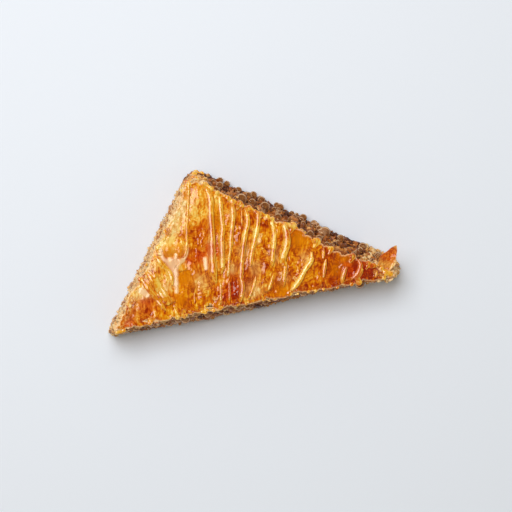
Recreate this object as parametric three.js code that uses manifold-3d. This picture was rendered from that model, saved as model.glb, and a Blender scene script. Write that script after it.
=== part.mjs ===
// A triangular piece of baklava, in millimetres, +Z up.
//
// A tray-baked slab is cut into rectangles, and each rectangle into two right-angled
// triangles. The long cut side of the triangle runs along X at the front, the right
// angle points to +Y, and the piece rests flat on its lower stack of pastry sheets.
//
//   bottom_pastry  the lower stack of pastry sheets, soaked in syrup
//   nut_filling    chopped walnuts pressed together, which show on all three sides
//   top_pastry     the upper stack of crisp sheets with the honey drizzled over it
//
// The origin is below the middle of the piece's box, on the surface it rests on.

import * as THREE from 'three';
import { mergeVertices } from 'three/addons/utils/BufferGeometryUtils.js';
import Module from 'manifold-3d';

const wasm = await Module();
wasm.setup();

// ---------------------------------------------------------------- driving dimensions
const SHORT_LEG = 104; // left side, from the left corner to the right angle
const LONG_LEG = 135; // right side, from the right angle to the right corner
const BOTTOM_STACK = 8; // height of the lower pastry
const FILLING = 12.4; // height of the walnut layer
const TOP_STACK = 8; // height of the upper pastry, without its relief
const GAP = 0.3; // clearance between two layers

const LONG_SIDE = Math.hypot(SHORT_LEG, LONG_LEG);
const APEX_ALONG = (SHORT_LEG * SHORT_LEG) / LONG_SIDE;
const APEX_DEPTH = (SHORT_LEG * LONG_LEG) / LONG_SIDE;
const FILLING_Z = BOTTOM_STACK + GAP;
const TOP_Z = FILLING_Z + FILLING + GAP;
const CROWN_Z = TOP_Z + TOP_STACK;

// Where the middle of the piece's box lies in the triangle's own axes, whose origin is
// the left corner.
const CENTRE_X = 85.9;
const CENTRE_Y = 38.6;

// How far each side stands out past the ideal triangle, at even steps along the side:
// the front from left to right, the right leg from the right corner to the apex, and
// the left leg from the apex to the left corner. The piece has slumped, so that its
// foot stands wider than its crown.
const FOOT_REACH = {
  front: [2.4, 3.6, 4.4, 4.3, 3.0, 2.3, 2.0],
  right: [4.4, 6.4, 4.6, 4.2, 4.0, 2.7, 3.1],
  left: [0.8, 0.6, 1.2, 1.5, 0.9, 1.6],
};
const CROWN_REACH = {
  front: [1.6, 0.6, 0.4, 0.8, 1.5, 2.7, 3.2],
  right: [-3.0, -2.9, -4.6, -2.8, -4.2, -4.0, -2.6],
  left: [-2.4, -3.2, -3.0, -2.6, -2.8, -2.2],
};
const LEAN_FROM = 4; // below this height the sides are upright
const LEAN_TO = 25; // above this height they are upright again

// Pastry sheets
// Length of each side that a corner takes, at the foot and at the crown
const CORNER_ROUNDING = { left: [5, 5], right: [14, 5], apex: [5, 5] };
const OUTLINE_STEP = 4.5; // spacing of an outline's points
const BOTTOM_LEAVES = 3; // visible groups of sheets in the lower stack
const TOP_LEAVES = 3; // and in the upper stack
const LEAF_RAGGEDNESS = 0.7; // how far a broken sheet edge strays from its line
const LEAF_OVERLAP = 0.4; // a group reaches this far into the one below

// Crown relief
const RELIEF_CELL = 5.6; // spacing of the crown's points
const EDGE_DROOP = 1.3; // the crown's fall at its rim
const DROOP_WIDTH = 3.5; // distance over which it falls
const WRINKLE_HEIGHT = 0.5;
const BLISTERS = [
  { at: [43.2, 43.6], radius: 4.6, height: 2.0 },
  { at: [49.0, 41.0], radius: 4.0, height: 1.7 },
  { at: [101, 33], radius: 7, height: 0.9 },
  { at: [122, 27], radius: 8, height: 0.8 },
  { at: [60, 62], radius: 7, height: 0.8 },
];

// Honey drizzle: each pass of the spoon runs through these places on the crown, and
// leaves a rope of this half width.
const DRIZZLE = [
  { through: [[62.5, 76.5], [59, 62.5], [55.5, 49.5], [53, 38], [50.5, 33.5]], radius: 1.0 },
  { through: [[71.5, 69.5], [72, 63], [70.5, 54], [69, 43], [67, 33], [65.5, 22.5], [65.5, 16]], radius: 2.4 },
  { through: [[78, 63.5], [77, 56], [76, 46], [74, 39], [72, 27], [70, 20]], radius: 1.8 },
  { through: [[84.5, 58.5], [83, 50], [80, 40.5], [78, 32.5]], radius: 1.8 },
  { through: [[78, 32.5], [76, 26.5], [73.5, 17.5]], radius: 1.2 },
  { through: [[91.5, 53.5], [91, 46], [88, 39], [85, 30.5], [83, 24.5], [80.5, 15]], radius: 1.8 },
  { through: [[80.5, 15], [80.5, 9.5], [77.5, 1.5]], radius: 1.4 },
  { through: [[98, 49.5], [96.5, 43.5], [93, 35], [89, 26], [87.5, 21]], radius: 1.8 },
  { through: [[89.5, 14], [86.5, 8], [82.5, 2]], radius: 1.1 },
  { through: [[105.3, 42.5], [105, 37], [103, 28.5], [101.5, 24.5], [100, 18.5]], radius: 1.7 },
  { through: [[99.5, 12.5], [97, 8], [95, 4.5]], radius: 1.1 },
  { through: [[111.5, 39.5], [112, 36], [111.5, 31.5], [109.5, 26.5], [107, 22], [106.5, 17.5]], radius: 2.6 },
  { through: [[108.5, 18], [106, 12], [104, 5]], radius: 1.3 },
  { through: [[124, 20.5], [122.5, 16], [117.5, 11], [113.5, 6], [108.5, 2]], radius: 1.9 },
  { through: [[131.5, 21.5], [130, 16]], radius: 1.2 },
  { through: [[131.5, 15], [129.5, 10], [128, 5.5]], radius: 1.3 },
  { through: [[142, 8], [139.5, 4], [138, 0]], radius: 1.6 },
  { through: [[150, 11], [150.5, 7.5], [148, 3.5], [144, 1]], radius: 1.4 },
  { through: [[23.5, 26], [28.5, 15], [33.5, 5.5]], radius: 1.1 },
  { through: [[27.5, 29], [29.5, 24], [32.5, 16.5], [36, 8.5]], radius: 1.1 },
  { through: [[34.5, 36.5], [37.5, 31.5], [40.5, 26], [40.5, 19.5]], radius: 1.2 },
  { through: [[35.5, 38], [39, 34.5], [43, 31.5], [49, 33.5]], radius: 2.0 },
  { through: [[43, 31.5], [43.5, 24.5], [42, 14]], radius: 1.6 },
];
const ROPE_FLATNESS = 0.6; // its height, as a share of its width
const ROPE_SIDES = 5;
const ROPE_STEP = 11;
const ROPE_RISE = 0.15; // how far a rope's centre line lies above the crown

// Drips: honey that has run over the rim and down a side. Each hangs at a share of the
// side's length, falls by some millimetres and ends in a bead.
const DRIPS = [
  { side: 'right', share: 0.93, fall: 12, radius: 1.5, bead: 2.1 },
  { side: 'right', share: 0.863, fall: 16, radius: 1.6, bead: 2.4 },
  { side: 'right', share: 0.782, fall: 22, radius: 1.4, bead: 2.1 },
  { side: 'right', share: 0.757, fall: 12, radius: 2.2, bead: 3.5 },
  { side: 'right', share: 0.653, fall: 15, radius: 2.0, bead: 3.3 },
  { side: 'right', share: 0.597, fall: 23, radius: 1.4, bead: 2.6 },
  { side: 'right', share: 0.505, fall: 4, radius: 2.3, bead: 2.7 },
  { side: 'right', share: 0.382, fall: 18, radius: 2.5, bead: 3.5 },
  { side: 'right', share: 0.313, fall: 19, radius: 1.8, bead: 2.6 },
  { side: 'right', share: 0.215, fall: 19, radius: 2.2, bead: 2.7 },
  { side: 'right', share: 0.138, fall: 17, radius: 1.6, bead: 2.3 },
  { side: 'front', share: 0.136, fall: 6, radius: 1.3, bead: 1.9 },
  { side: 'front', share: 0.25, fall: 12, radius: 1.9, bead: 2.8 },
  { side: 'front', share: 0.38, fall: 10, radius: 1.4, bead: 2.2 },
  { side: 'front', share: 0.439, fall: 12, radius: 1.1, bead: 1.6 },
  { side: 'front', share: 0.53, fall: 12.5, radius: 1.1, bead: 1.6 },
  { side: 'front', share: 0.863, fall: 8, radius: 2.2, bead: 3.2 },
];
const DRIP_SIDES = 5;
const DRIP_STEPS = 4;
const BEAD_FACES = [6, 5]; // round a bead and over it
const DRIP_STANDS_OUT = 0.5; // of its centre line, from the side it runs down
const DRIP_STARTS_INSIDE = 4; // distance from the rim at which a drip leaves the crown

// Walnut pieces
const NUT_ROWS = 3;
const NUTS_IN_A_ROW = 28;
const NUT_RADIUS = [1.9, 3.4]; // smallest and largest
const NUT_RAGGEDNESS = 1.0;
const FILLING_LEAVES = 2;

// The flake of crisp sheet that has curled up over the right corner
const FLAKE = { root: [160.5, -0.5], tip: [173.6, 14.8], width: 9.5, thickness: 1.2, rise: 4.5 };
const FLAKE_DEPTH = 4; // of its root, below the crown

// ---------------------------------------------------------------- small helpers
// A repeatable random number between 0 and 1, from a seed that counts up
function randomFrom(seed) {
  let state = seed;
  return () => {
    state = (state * 1664525 + 1013904223) % 4294967296;
    return state / 4294967296;
  };
}

function between(low, high, share) {
  return low + (high - low) * share;
}

// A smooth value at a share from 0 to 1 along a list of evenly spaced values
function along(values, share) {
  const place = share * (values.length - 1);
  const first = Math.min(Math.floor(place), values.length - 2);
  return between(values[first], values[first + 1], THREE.MathUtils.smoothstep(place - first, 0, 1));
}

// A closed geometry as a solid that can be joined and cut
function solid(geometry) {
  const bare = geometry.clone();
  bare.deleteAttribute('normal');
  bare.deleteAttribute('uv');
  const merged = mergeVertices(bare, 1e-4);
  const vertProperties = new Float32Array(merged.attributes.position.array);
  const triVerts = new Uint32Array(merged.index.array);
  return new wasm.Manifold(new wasm.Mesh({ numProp: 3, vertProperties, triVerts }));
}

function joined(solids) {
  return solids.reduce((whole, piece) => whole.add(piece));
}

// A body without the loose crumbs that a cut has left beside it
function withoutCrumbs(body) {
  const parts = body.decompose();
  return parts.reduce((largest, part) => (part.volume() > largest.volume() ? part : largest));
}

function named(name, body, material) {
  const mesh = body.getMesh();
  const geometry = new THREE.BufferGeometry();
  geometry.setAttribute('position', new THREE.BufferAttribute(new Float32Array(mesh.vertProperties), 3));
  geometry.setIndex(new THREE.BufferAttribute(new Uint32Array(mesh.triVerts), 1));
  geometry.computeVertexNormals();
  const piece = new THREE.Mesh(geometry, material);
  piece.name = name;
  return piece;
}

// ---------------------------------------------------------------- the cut outline
const CORNERS = {
  left: new THREE.Vector2(0, 0),
  right: new THREE.Vector2(LONG_SIDE, 0),
  apex: new THREE.Vector2(APEX_ALONG, APEX_DEPTH),
};
const SIDES = [
  { name: 'front', starts: 'left', ends: 'right' },
  { name: 'right', starts: 'right', ends: 'apex' },
  { name: 'left', starts: 'apex', ends: 'left' },
].map(({ name, starts, ends }) => {
  const from = CORNERS[starts];
  const to = CORNERS[ends];
  const length = from.distanceTo(to);
  const run = to.clone().sub(from).normalize();
  const outward = new THREE.Vector2(run.y, -run.x);
  const rounding = [CORNER_ROUNDING[starts], CORNER_ROUNDING[ends]];
  return { name, from, to, length, run, outward, rounding };
});

// 0 at the foot of the piece, 1 at its crown
function leanAt(z) {
  return THREE.MathUtils.smoothstep(z, LEAN_FROM, LEAN_TO);
}

function reach(side, share, z) {
  const foot = along(FOOT_REACH[side.name], share);
  const crown = along(CROWN_REACH[side.name], share);
  return between(foot, crown, leanAt(z));
}

// Where two sides meet at a height, once each has moved out by its reach
function corner(before, after, z) {
  const a = before.to.clone().addScaledVector(before.outward, reach(before, 1, z));
  const b = after.from.clone().addScaledVector(after.outward, reach(after, 0, z));
  const apart = b.sub(a);
  const travel = apart.cross(after.run) / before.run.cross(after.run);
  return a.addScaledVector(before.run, travel);
}

// A point on a side at a height: on the line between its two corners, moved out by as
// much as the reach differs from the reach at its ends.
function sidePoint(index, share, z) {
  const side = SIDES[index];
  const start = corner(SIDES[(index + 2) % 3], side, z);
  const end = corner(side, SIDES[(index + 1) % 3], z);
  const straight = between(reach(side, 0, z), reach(side, 1, z), share);
  const bow = reach(side, share, z) - straight;
  return start.lerp(end, share).addScaledVector(side.outward, bow);
}

// The shares of a side that the roundings of its two corners take, at a height
function roundedShares(side, z) {
  return side.rounding.map((range) => between(...range, leanAt(z)) / side.length);
}

// The smooth outline at a height, as evenly spread points with rounded corners
function smoothOutline(z) {
  const points = [];
  SIDES.forEach((side, index) => {
    const count = Math.round(side.length / OUTLINE_STEP);
    const [first, last] = roundedShares(side, z);
    for (let i = 0; i <= count; i++) {
      points.push(sidePoint(index, between(first, 1 - last, i / count), z));
    }
    const next = (index + 1) % 3;
    const turn = corner(side, SIDES[next], z);
    const landing = sidePoint(next, roundedShares(SIDES[next], z)[0], z);
    const rounding = new THREE.QuadraticBezierCurve(points[points.length - 1], turn, landing);
    points.push(...rounding.getPoints(4).slice(1, -1));
  });
  return points;
}

// A broken edge: waves of several lengths round the outline, pushed in and out
const RAGGED_WAVES = [
  { cycles: 13, share: 0.3 },
  { cycles: 29, share: 0.3 },
  { cycles: 47, share: 0.25 },
  { cycles: 61, share: 0.15 },
];

function raggedOutline(z, raggedness, seed) {
  const random = randomFrom(seed);
  const waves = RAGGED_WAVES.map((wave) => ({ ...wave, phase: random() * 2 * Math.PI }));
  const smooth = smoothOutline(z);
  const count = smooth.length;
  return smooth.map((point, i) => {
    const before = smooth[(i + count - 1) % count];
    const after = smooth[(i + 1) % count];
    const run = after.clone().sub(before).normalize();
    const push = waves.reduce((sum, wave) => {
      return sum + 2 * wave.share * Math.sin((2 * Math.PI * wave.cycles * i) / count + wave.phase);
    }, 0);
    return point.clone().add(new THREE.Vector2(run.y, -run.x).multiplyScalar(push * raggedness));
  });
}

// One group of sheets: a flat slab with a broken edge
function leaf(bottom, top, raggedness, seed) {
  const outline = new THREE.Shape(raggedOutline((bottom + top) / 2, raggedness, seed));
  const slab = new THREE.ExtrudeGeometry(outline, { depth: top - bottom, bevelEnabled: false });
  return solid(slab.translate(0, 0, bottom));
}

// Groups of sheets on each other, from one height to another
function stack(bottom, top, count, raggedness, seed) {
  const step = (top - bottom) / count;
  const leaves = [];
  for (let i = 0; i < count; i++) {
    const low = i === 0 ? bottom : bottom + i * step - LEAF_OVERLAP;
    leaves.push(leaf(low, bottom + (i + 1) * step, raggedness, seed + i));
  }
  return joined(leaves);
}

// ---------------------------------------------------------------- the crown's relief
function distanceToRim(x, y) {
  const point = new THREE.Vector2(x, y);
  return Math.min(
    ...SIDES.map((side) => {
      const share = THREE.MathUtils.clamp(point.clone().sub(side.from).dot(side.run) / side.length, 0, 1);
      return reach(side, share, CROWN_Z) - point.clone().sub(side.from).dot(side.outward);
    }),
  );
}

function crownHeight(x, y) {
  const droop = EDGE_DROOP * Math.exp(-Math.max(distanceToRim(x, y), 0) / DROOP_WIDTH);
  const wrinkles =
    Math.sin(0.24 * x + 0.9 * Math.sin(0.11 * y)) * Math.sin(0.19 * y + 0.07 * x) +
    0.5 * Math.sin(0.52 * x - 0.31 * y);
  const blisters = BLISTERS.reduce((sum, blister) => {
    const away = Math.hypot(x - blister.at[0], y - blister.at[1]) / blister.radius;
    return sum + blister.height * Math.exp(-2 * away ** 2);
  }, 0);
  return CROWN_Z - droop + WRINKLE_HEIGHT * wrinkles + blisters;
}

// A block whose upper face follows the crown, cut to the crown's outline
function crownSlab(bottom, seed) {
  const margin = 6;
  const width = LONG_SIDE + 2 * margin;
  const depth = APEX_DEPTH + 2 * margin;
  const height = CROWN_Z - bottom;
  const columns = Math.round(width / RELIEF_CELL);
  const rows = Math.round(depth / RELIEF_CELL);
  const block = new THREE.BoxGeometry(width, depth, height, columns, rows, 1);
  block.translate(LONG_SIDE / 2, APEX_DEPTH / 2, bottom + height / 2);
  const position = block.attributes.position;
  for (let i = 0; i < position.count; i++) {
    if (position.getZ(i) > bottom + height / 2) {
      position.setZ(i, crownHeight(position.getX(i), position.getY(i)));
    }
  }
  return solid(block).intersect(leaf(bottom, CROWN_Z + 10, LEAF_RAGGEDNESS, seed));
}

// ---------------------------------------------------------------- honey
function ring(radius, sides) {
  const shape = new THREE.Shape();
  for (let i = 0; i < sides; i++) {
    const turn = (2 * Math.PI * i) / sides;
    const place = [radius * Math.cos(turn), radius * Math.sin(turn)];
    if (i === 0) shape.moveTo(...place);
    else shape.lineTo(...place);
  }
  shape.closePath();
  return shape;
}

function tube(points, radius, sides, steps) {
  const path = new THREE.CatmullRomCurve3(points);
  return new THREE.ExtrudeGeometry(ring(radius, sides), { extrudePath: path, steps });
}

// One pass of the spoon, spread flat on the crown
function rope({ through, radius }) {
  const route = new THREE.CatmullRomCurve3(through.map(([x, y]) => new THREE.Vector3(x, y, 0)));
  const steps = Math.max(2, Math.round(route.getLength() / ROPE_STEP));
  const points = route.getSpacedPoints(steps).map(({ x, y }) => {
    return new THREE.Vector3(x, y, crownHeight(x, y) + ROPE_RISE);
  });
  const body = tube(points, radius, ROPE_SIDES, steps);
  const position = body.attributes.position;
  for (let i = 0; i < position.count; i++) {
    const middle = crownHeight(position.getX(i), position.getY(i)) + ROPE_RISE;
    position.setZ(i, between(middle, position.getZ(i), ROPE_FLATNESS));
  }
  return solid(body);
}

// One drip with its bead, `swell` millimetres fatter than it is
function drip({ side, share, fall, radius, bead }, swell) {
  const index = SIDES.findIndex((one) => one.name === side);
  const { outward } = SIDES[index];
  const rim = sidePoint(index, share, CROWN_Z);
  const inside = rim.clone().addScaledVector(outward, -DRIP_STARTS_INSIDE);
  const shoulder = rim.clone().addScaledVector(outward, -0.6);
  const points = [
    new THREE.Vector3(inside.x, inside.y, crownHeight(inside.x, inside.y) - 0.5),
    new THREE.Vector3(shoulder.x, shoulder.y, CROWN_Z - 0.5),
  ];
  for (const part of [0.5, 1]) {
    const z = CROWN_Z - fall * part;
    const place = sidePoint(index, share, z).addScaledVector(outward, DRIP_STANDS_OUT);
    points.push(new THREE.Vector3(place.x, place.y, z));
  }
  const end = points[points.length - 1];
  const drop = new THREE.SphereGeometry(bead + swell, ...BEAD_FACES).translate(end.x, end.y, end.z);
  return solid(tube(points, radius + swell, DRIP_SIDES, DRIP_STEPS)).add(solid(drop));
}

// The space that the drips take out of the layers they run over
const fatDrips = joined(DRIPS.map((one) => drip(one, GAP)));

// ---------------------------------------------------------------- the curled flake
function curledFlake() {
  const root = new THREE.Vector2(...FLAKE.root);
  const tip = new THREE.Vector2(...FLAKE.tip);
  const run = tip.clone().sub(root);
  const length = run.length();
  const shape = new THREE.Shape();
  shape.moveTo(0, -FLAKE.width * 0.3);
  shape.quadraticCurveTo(length * 0.75, -FLAKE.width * 0.85, length, 0);
  shape.quadraticCurveTo(length * 0.6, FLAKE.width * 0.8, 0, FLAKE.width * 0.3);
  shape.closePath();
  const flake = new THREE.ExtrudeGeometry(shape, {
    depth: FLAKE.thickness,
    bevelEnabled: false,
    curveSegments: 5,
  });
  const position = flake.attributes.position;
  for (let i = 0; i < position.count; i++) {
    const share = position.getX(i) / length;
    position.setZ(i, position.getZ(i) + FLAKE.rise * share ** 2);
  }
  flake.rotateZ(run.angle());
  flake.translate(root.x, root.y, CROWN_Z - FLAKE_DEPTH);
  return solid(flake);
}

// ---------------------------------------------------------------- walnut pieces
// Pieces of walnut in rows round the core. One that would meet a drip is left out.
function nuts(core, bottom, top) {
  const random = randomFrom(41);
  const pieces = [];
  for (let row = 0; row < NUT_ROWS; row++) {
    for (let i = 0; i < NUTS_IN_A_ROW; i++) {
      const z = between(bottom, top, (row + 0.3 + 0.4 * random()) / NUT_ROWS);
      const outline = smoothOutline(z);
      const place = outline[Math.floor((outline.length * (i + 0.7 * random())) / NUTS_IN_A_ROW)];
      const nut = new THREE.OctahedronGeometry(between(...NUT_RADIUS, random()), 0);
      nut.scale(between(0.8, 1.3, random()), between(0.8, 1.3, random()), between(0.6, 1, random()));
      nut.rotateX(6 * random()).rotateY(6 * random()).rotateZ(6 * random());
      const piece = solid(nut.translate(place.x, place.y, z));
      const held = !piece.intersect(core).isEmpty();
      if (held && piece.intersect(fatDrips).isEmpty()) pieces.push(piece);
    }
  }
  return joined(pieces);
}

function slice(bottom, top) {
  const block = new THREE.BoxGeometry(2 * LONG_SIDE, 4 * APEX_DEPTH, top - bottom);
  return solid(block.translate(LONG_SIDE / 2, 0, (bottom + top) / 2));
}

// ---------------------------------------------------------------- the three layers
function bottomPastry() {
  const material = new THREE.MeshStandardMaterial({ color: 0xa8703c, roughness: 0.55, metalness: 0 });
  const sheets = stack(0, BOTTOM_STACK, BOTTOM_LEAVES, LEAF_RAGGEDNESS, 11);
  return named('bottom_pastry', sheets.subtract(fatDrips), material);
}

function nutFilling() {
  const material = new THREE.MeshStandardMaterial({ color: 0x5c3a28, roughness: 0.7, metalness: 0 });
  const top = FILLING_Z + FILLING;
  const core = stack(FILLING_Z, top, FILLING_LEAVES, NUT_RAGGEDNESS, 23).subtract(fatDrips);
  const crumbly = core.add(nuts(core, FILLING_Z, top)).intersect(slice(FILLING_Z, top));
  return named('nut_filling', withoutCrumbs(crumbly), material);
}

function topPastry() {
  const material = new THREE.MeshStandardMaterial({ color: 0xdd8a24, roughness: 0.25, metalness: 0 });
  const crownBottom = TOP_Z + (TOP_STACK * (TOP_LEAVES - 1)) / TOP_LEAVES;
  const sheets = stack(TOP_Z, crownBottom, TOP_LEAVES - 1, LEAF_RAGGEDNESS, 31);
  const crown = crownSlab(crownBottom - LEAF_OVERLAP, 37);
  const honey = joined([...DRIZZLE.map(rope), ...DRIPS.map((one) => drip(one, 0))]);
  return named('top_pastry', joined([sheets, crown, honey, curledFlake()]), material);
}

// ---------------------------------------------------------------- the piece
const baklava = new THREE.Group();
baklava.name = 'baklava_piece';
baklava.add(bottomPastry(), nutFilling(), topPastry());
baklava.position.set(-CENTRE_X, -CENTRE_Y, 0);

export default baklava;
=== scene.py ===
# %% [markdown]
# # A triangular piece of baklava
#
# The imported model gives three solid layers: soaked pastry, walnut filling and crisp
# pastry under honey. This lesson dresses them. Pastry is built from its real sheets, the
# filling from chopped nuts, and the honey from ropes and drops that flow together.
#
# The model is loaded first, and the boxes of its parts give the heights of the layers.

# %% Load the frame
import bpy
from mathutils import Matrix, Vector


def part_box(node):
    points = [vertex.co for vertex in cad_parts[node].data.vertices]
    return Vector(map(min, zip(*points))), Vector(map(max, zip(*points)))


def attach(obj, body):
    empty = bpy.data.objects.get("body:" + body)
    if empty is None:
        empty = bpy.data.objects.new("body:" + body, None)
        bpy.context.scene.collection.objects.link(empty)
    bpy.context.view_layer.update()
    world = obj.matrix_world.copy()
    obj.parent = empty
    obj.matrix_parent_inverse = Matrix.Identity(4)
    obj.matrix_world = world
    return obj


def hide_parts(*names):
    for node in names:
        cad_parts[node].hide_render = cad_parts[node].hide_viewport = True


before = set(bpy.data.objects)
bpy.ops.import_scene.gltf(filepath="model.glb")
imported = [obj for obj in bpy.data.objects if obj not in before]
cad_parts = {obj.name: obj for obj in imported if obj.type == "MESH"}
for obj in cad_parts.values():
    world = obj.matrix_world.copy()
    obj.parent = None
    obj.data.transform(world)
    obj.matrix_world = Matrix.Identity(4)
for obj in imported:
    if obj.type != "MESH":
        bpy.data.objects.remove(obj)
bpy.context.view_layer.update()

import math

import bmesh
import bpy
import numpy as np
from mathutils import Matrix, Vector, kdtree, noise

MM = 0.001

# %% [markdown]
# ## The cut triangle
#
# A tray of baklava is cut into rectangles, and each rectangle along its diagonal. All
# sizes follow from the two short cut sides. Points are worked out in millimetres in the
# triangle's own axes, with the left corner as the origin and the long cut side along X,
# and `to_frame` carries them to metres in the model's frame.

# %% The ideal triangle
SHORT_LEG = 104
LONG_LEG = 135
LONG_SIDE = math.hypot(SHORT_LEG, LONG_LEG)
CENTRE = np.array([85.9, 38.6, 0.0])  # the model's origin, in the triangle's axes
CORNERS = {
    "left": np.array([0.0, 0.0]),
    "right": np.array([LONG_SIDE, 0.0]),
    "apex": np.array([SHORT_LEG**2, SHORT_LEG * LONG_LEG]) / LONG_SIDE,
}
INRADIUS = (SHORT_LEG + LONG_LEG - LONG_SIDE) / 2
OPPOSITE = {"left": LONG_LEG, "right": SHORT_LEG, "apex": LONG_SIDE}
MIDDLE = sum(CORNERS[name] * OPPOSITE[name] for name in CORNERS) / sum(OPPOSITE.values())

BOTTOM_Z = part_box("bottom_pastry")[1].z / MM
NUTS_Z = [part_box("nut_filling")[i].z / MM for i in (0, 1)]
CLEARANCE = 0.3  # between the nuts and the sheets above them
TOP_STACK = 8.0  # the height of the crisp stack
TOP_Z = NUTS_Z[1] + CLEARANCE
CROWN_Z = TOP_Z + TOP_STACK


def to_frame(points):
    """Millimetres in the triangle's axes to metres in the model's frame."""
    return (np.asarray(points, float) - CENTRE) * MM


print("long side", round(LONG_SIDE, 1), "mm, crown at", round(CROWN_Z, 1), "mm")

# %% [markdown]
# ## The slumped outline
#
# Cut baklava doesn't stand upright: the soft foot spreads and the crisp crown stays
# narrow. So each side has two short lists, one for how far its foot stands out past the
# ideal triangle and one for its crown, at even steps along the side. Every height in
# between is a blend of the two, and every sheet, nut and drop of honey below is placed
# with the same function.

# %% How far the sides stand out
FOOT_REACH = {
    "front": [2.4, 3.6, 4.4, 4.3, 3.0, 2.3, 2.0],
    "right": [4.4, 6.4, 4.6, 4.2, 4.0, 2.7, 3.1],
    "left": [0.8, 0.6, 1.2, 1.5, 0.9, 1.6],
}
CROWN_REACH = {
    "front": [1.6, 0.4, 0.3, 0.8, 1.0, 2.0, 3.0],
    "right": [-2.0, -2.8, -4.6, -2.8, -4.2, -4.0, -2.6],
    "left": [-2.4, -3.0, -2.8, -2.0, -1.3, -1.2],
}
LEAN_FROM, LEAN_TO = 4, 25  # the heights between which the sides lean in
ROUNDING = {"left": (5, 5), "right": (14, 5), "apex": (9, 8)}  # at the foot and the crown


def ease(x):
    x = np.clip(x, 0, 1)
    return x * x * (3 - 2 * x)


def rise(value, low, high):
    """0 below low, 1 above high, and a smooth rise in between."""
    return ease((value - low) / (high - low))


def mix(a, b, share):
    return a + (b - a) * share


def along(values, share):
    """A smooth value at a share from 0 to 1 along a list of evenly spaced values."""
    values = np.array(values, float)
    place = np.clip(share, 0, 1) * (len(values) - 1)
    first = np.minimum(place.astype(int), len(values) - 2)
    return mix(values[first], values[first + 1], ease(place - first))


def lean_at(z):
    """0 at the foot of the piece, 1 at its crown."""
    return rise(z, LEAN_FROM, LEAN_TO)


def make_side(name, starts, ends):
    start, end = CORNERS[starts], CORNERS[ends]
    length = np.linalg.norm(end - start)
    run = (end - start) / length
    outward = np.array([run[1], -run[0]])
    rounding = (ROUNDING[starts], ROUNDING[ends])
    return dict(name=name, start=start, end=end, length=length, run=run, outward=outward, rounding=rounding)


SIDES = [
    make_side("front", "left", "right"),
    make_side("right", "right", "apex"),
    make_side("left", "apex", "left"),
]


# %% The sides and their corners
def reach(side, share, z):
    foot = along(FOOT_REACH[side["name"]], share)
    crown = along(CROWN_REACH[side["name"]], share)
    return mix(foot, crown, lean_at(z))


def corner_at(before, after, z):
    """Where two sides meet at the heights z, once each has moved out by its reach."""
    a = before["end"] + before["outward"] * reach(before, 1.0 + 0 * z, z)[..., None]
    b = after["start"] + after["outward"] * reach(after, 0.0 * z, z)[..., None]
    gap = b - a
    cross = before["run"][0] * after["run"][1] - before["run"][1] * after["run"][0]
    travel = (gap[..., 0] * after["run"][1] - gap[..., 1] * after["run"][0]) / cross
    return a + before["run"] * travel[..., None]


def side_point(index, share, z):
    """Points on a side, at shares of its length and heights z."""
    share, z = np.broadcast_arrays(np.asarray(share, float), np.asarray(z, float))
    side = SIDES[index]
    start = corner_at(SIDES[(index + 2) % 3], side, z)
    end = corner_at(side, SIDES[(index + 1) % 3], z)
    straight = mix(reach(side, 0 * z, z), reach(side, 1 + 0 * z, z), share)
    bow = reach(side, share, z) - straight
    return mix(start, end, share[..., None]) + side["outward"] * bow[..., None]


print("the apex of the crown lies at", side_point(1, 1, CROWN_Z).round(1), "mm")
# %% [markdown]
# One parameter runs round the whole piece, from 0 to 1: along the front, up the right
# leg, down the left leg, with a curve at each corner. `wall` turns it and a height into a
# point, and `wall_normal` gives the direction that points away from the piece there.

# %% Once round the piece
def rounded_shares(side, z):
    """The shares of a side that the roundings of its two corners take at heights z."""
    return [mix(*ends, lean_at(z)) / side["length"] for ends in side["rounding"]]


TURN_LENGTH = 8  # about the length of the curve at a corner
PERIMETER = SHORT_LEG + LONG_LEG + LONG_SIDE
stretches = [length for side in SIDES for length in (side["length"] - TURN_LENGTH, TURN_LENGTH)]
MARKS = np.concatenate([[0], np.cumsum(stretches)]) / PERIMETER


def wall(t, z):
    """Points on the smooth wall at shares t round the piece and heights z."""
    t, z = np.broadcast_arrays(np.mod(t, 1.0), np.asarray(z, float))
    point = np.zeros(t.shape + (2,))
    for index, side in enumerate(SIDES):
        following = (index + 1) % 3
        begin, stop, turned = MARKS[2 * index : 2 * index + 3]
        on = (t >= begin) & (t < stop)
        first, last = rounded_shares(side, z[on])
        share = mix(first, 1 - last, (t[on] - begin) / (stop - begin))
        point[on] = side_point(index, share, z[on])
        on = (t >= stop) & (t <= turned)
        f = ((t[on] - stop) / (turned - stop))[..., None]
        leave = side_point(index, 1 - rounded_shares(side, z[on])[1], z[on])
        tip = corner_at(side, SIDES[following], z[on])
        land = side_point(following, rounded_shares(SIDES[following], z[on])[0], z[on])
        point[on] = (1 - f) ** 2 * leave + 2 * f * (1 - f) * tip + f**2 * land
    return point


def wall_normal(t, z):
    step = 0.6 / PERIMETER
    run = wall(t + step, z) - wall(t - step, z)
    run /= np.linalg.norm(run, axis=-1, keepdims=True)
    return np.stack([run[..., 1], -run[..., 0]], axis=-1)


def off_wall(t, z, out):
    """Points in space that stand out of the wall by so many millimetres."""
    t, z, out = np.broadcast_arrays(t, z, out)
    flat = wall(t, z) + wall_normal(t, z) * out[..., None]
    return np.concatenate([flat, z[..., None]], axis=-1)


print("round the piece:", round(PERIMETER), "mm")

# %% Where a point lies on the piece
def inside_wall(x, y, z):
    """How far inside the three slumped sides a point lies, in millimetres."""
    nearest = np.full(np.shape(x), 1e9)
    for side in SIDES:
        dx, dy = x - side["start"][0], y - side["start"][1]
        share = np.clip((dx * side["run"][0] + dy * side["run"][1]) / side["length"], 0, 1)
        outside = dx * side["outward"][0] + dy * side["outward"][1]
        nearest = np.minimum(nearest, reach(side, share, z) - outside)
    return nearest


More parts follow.
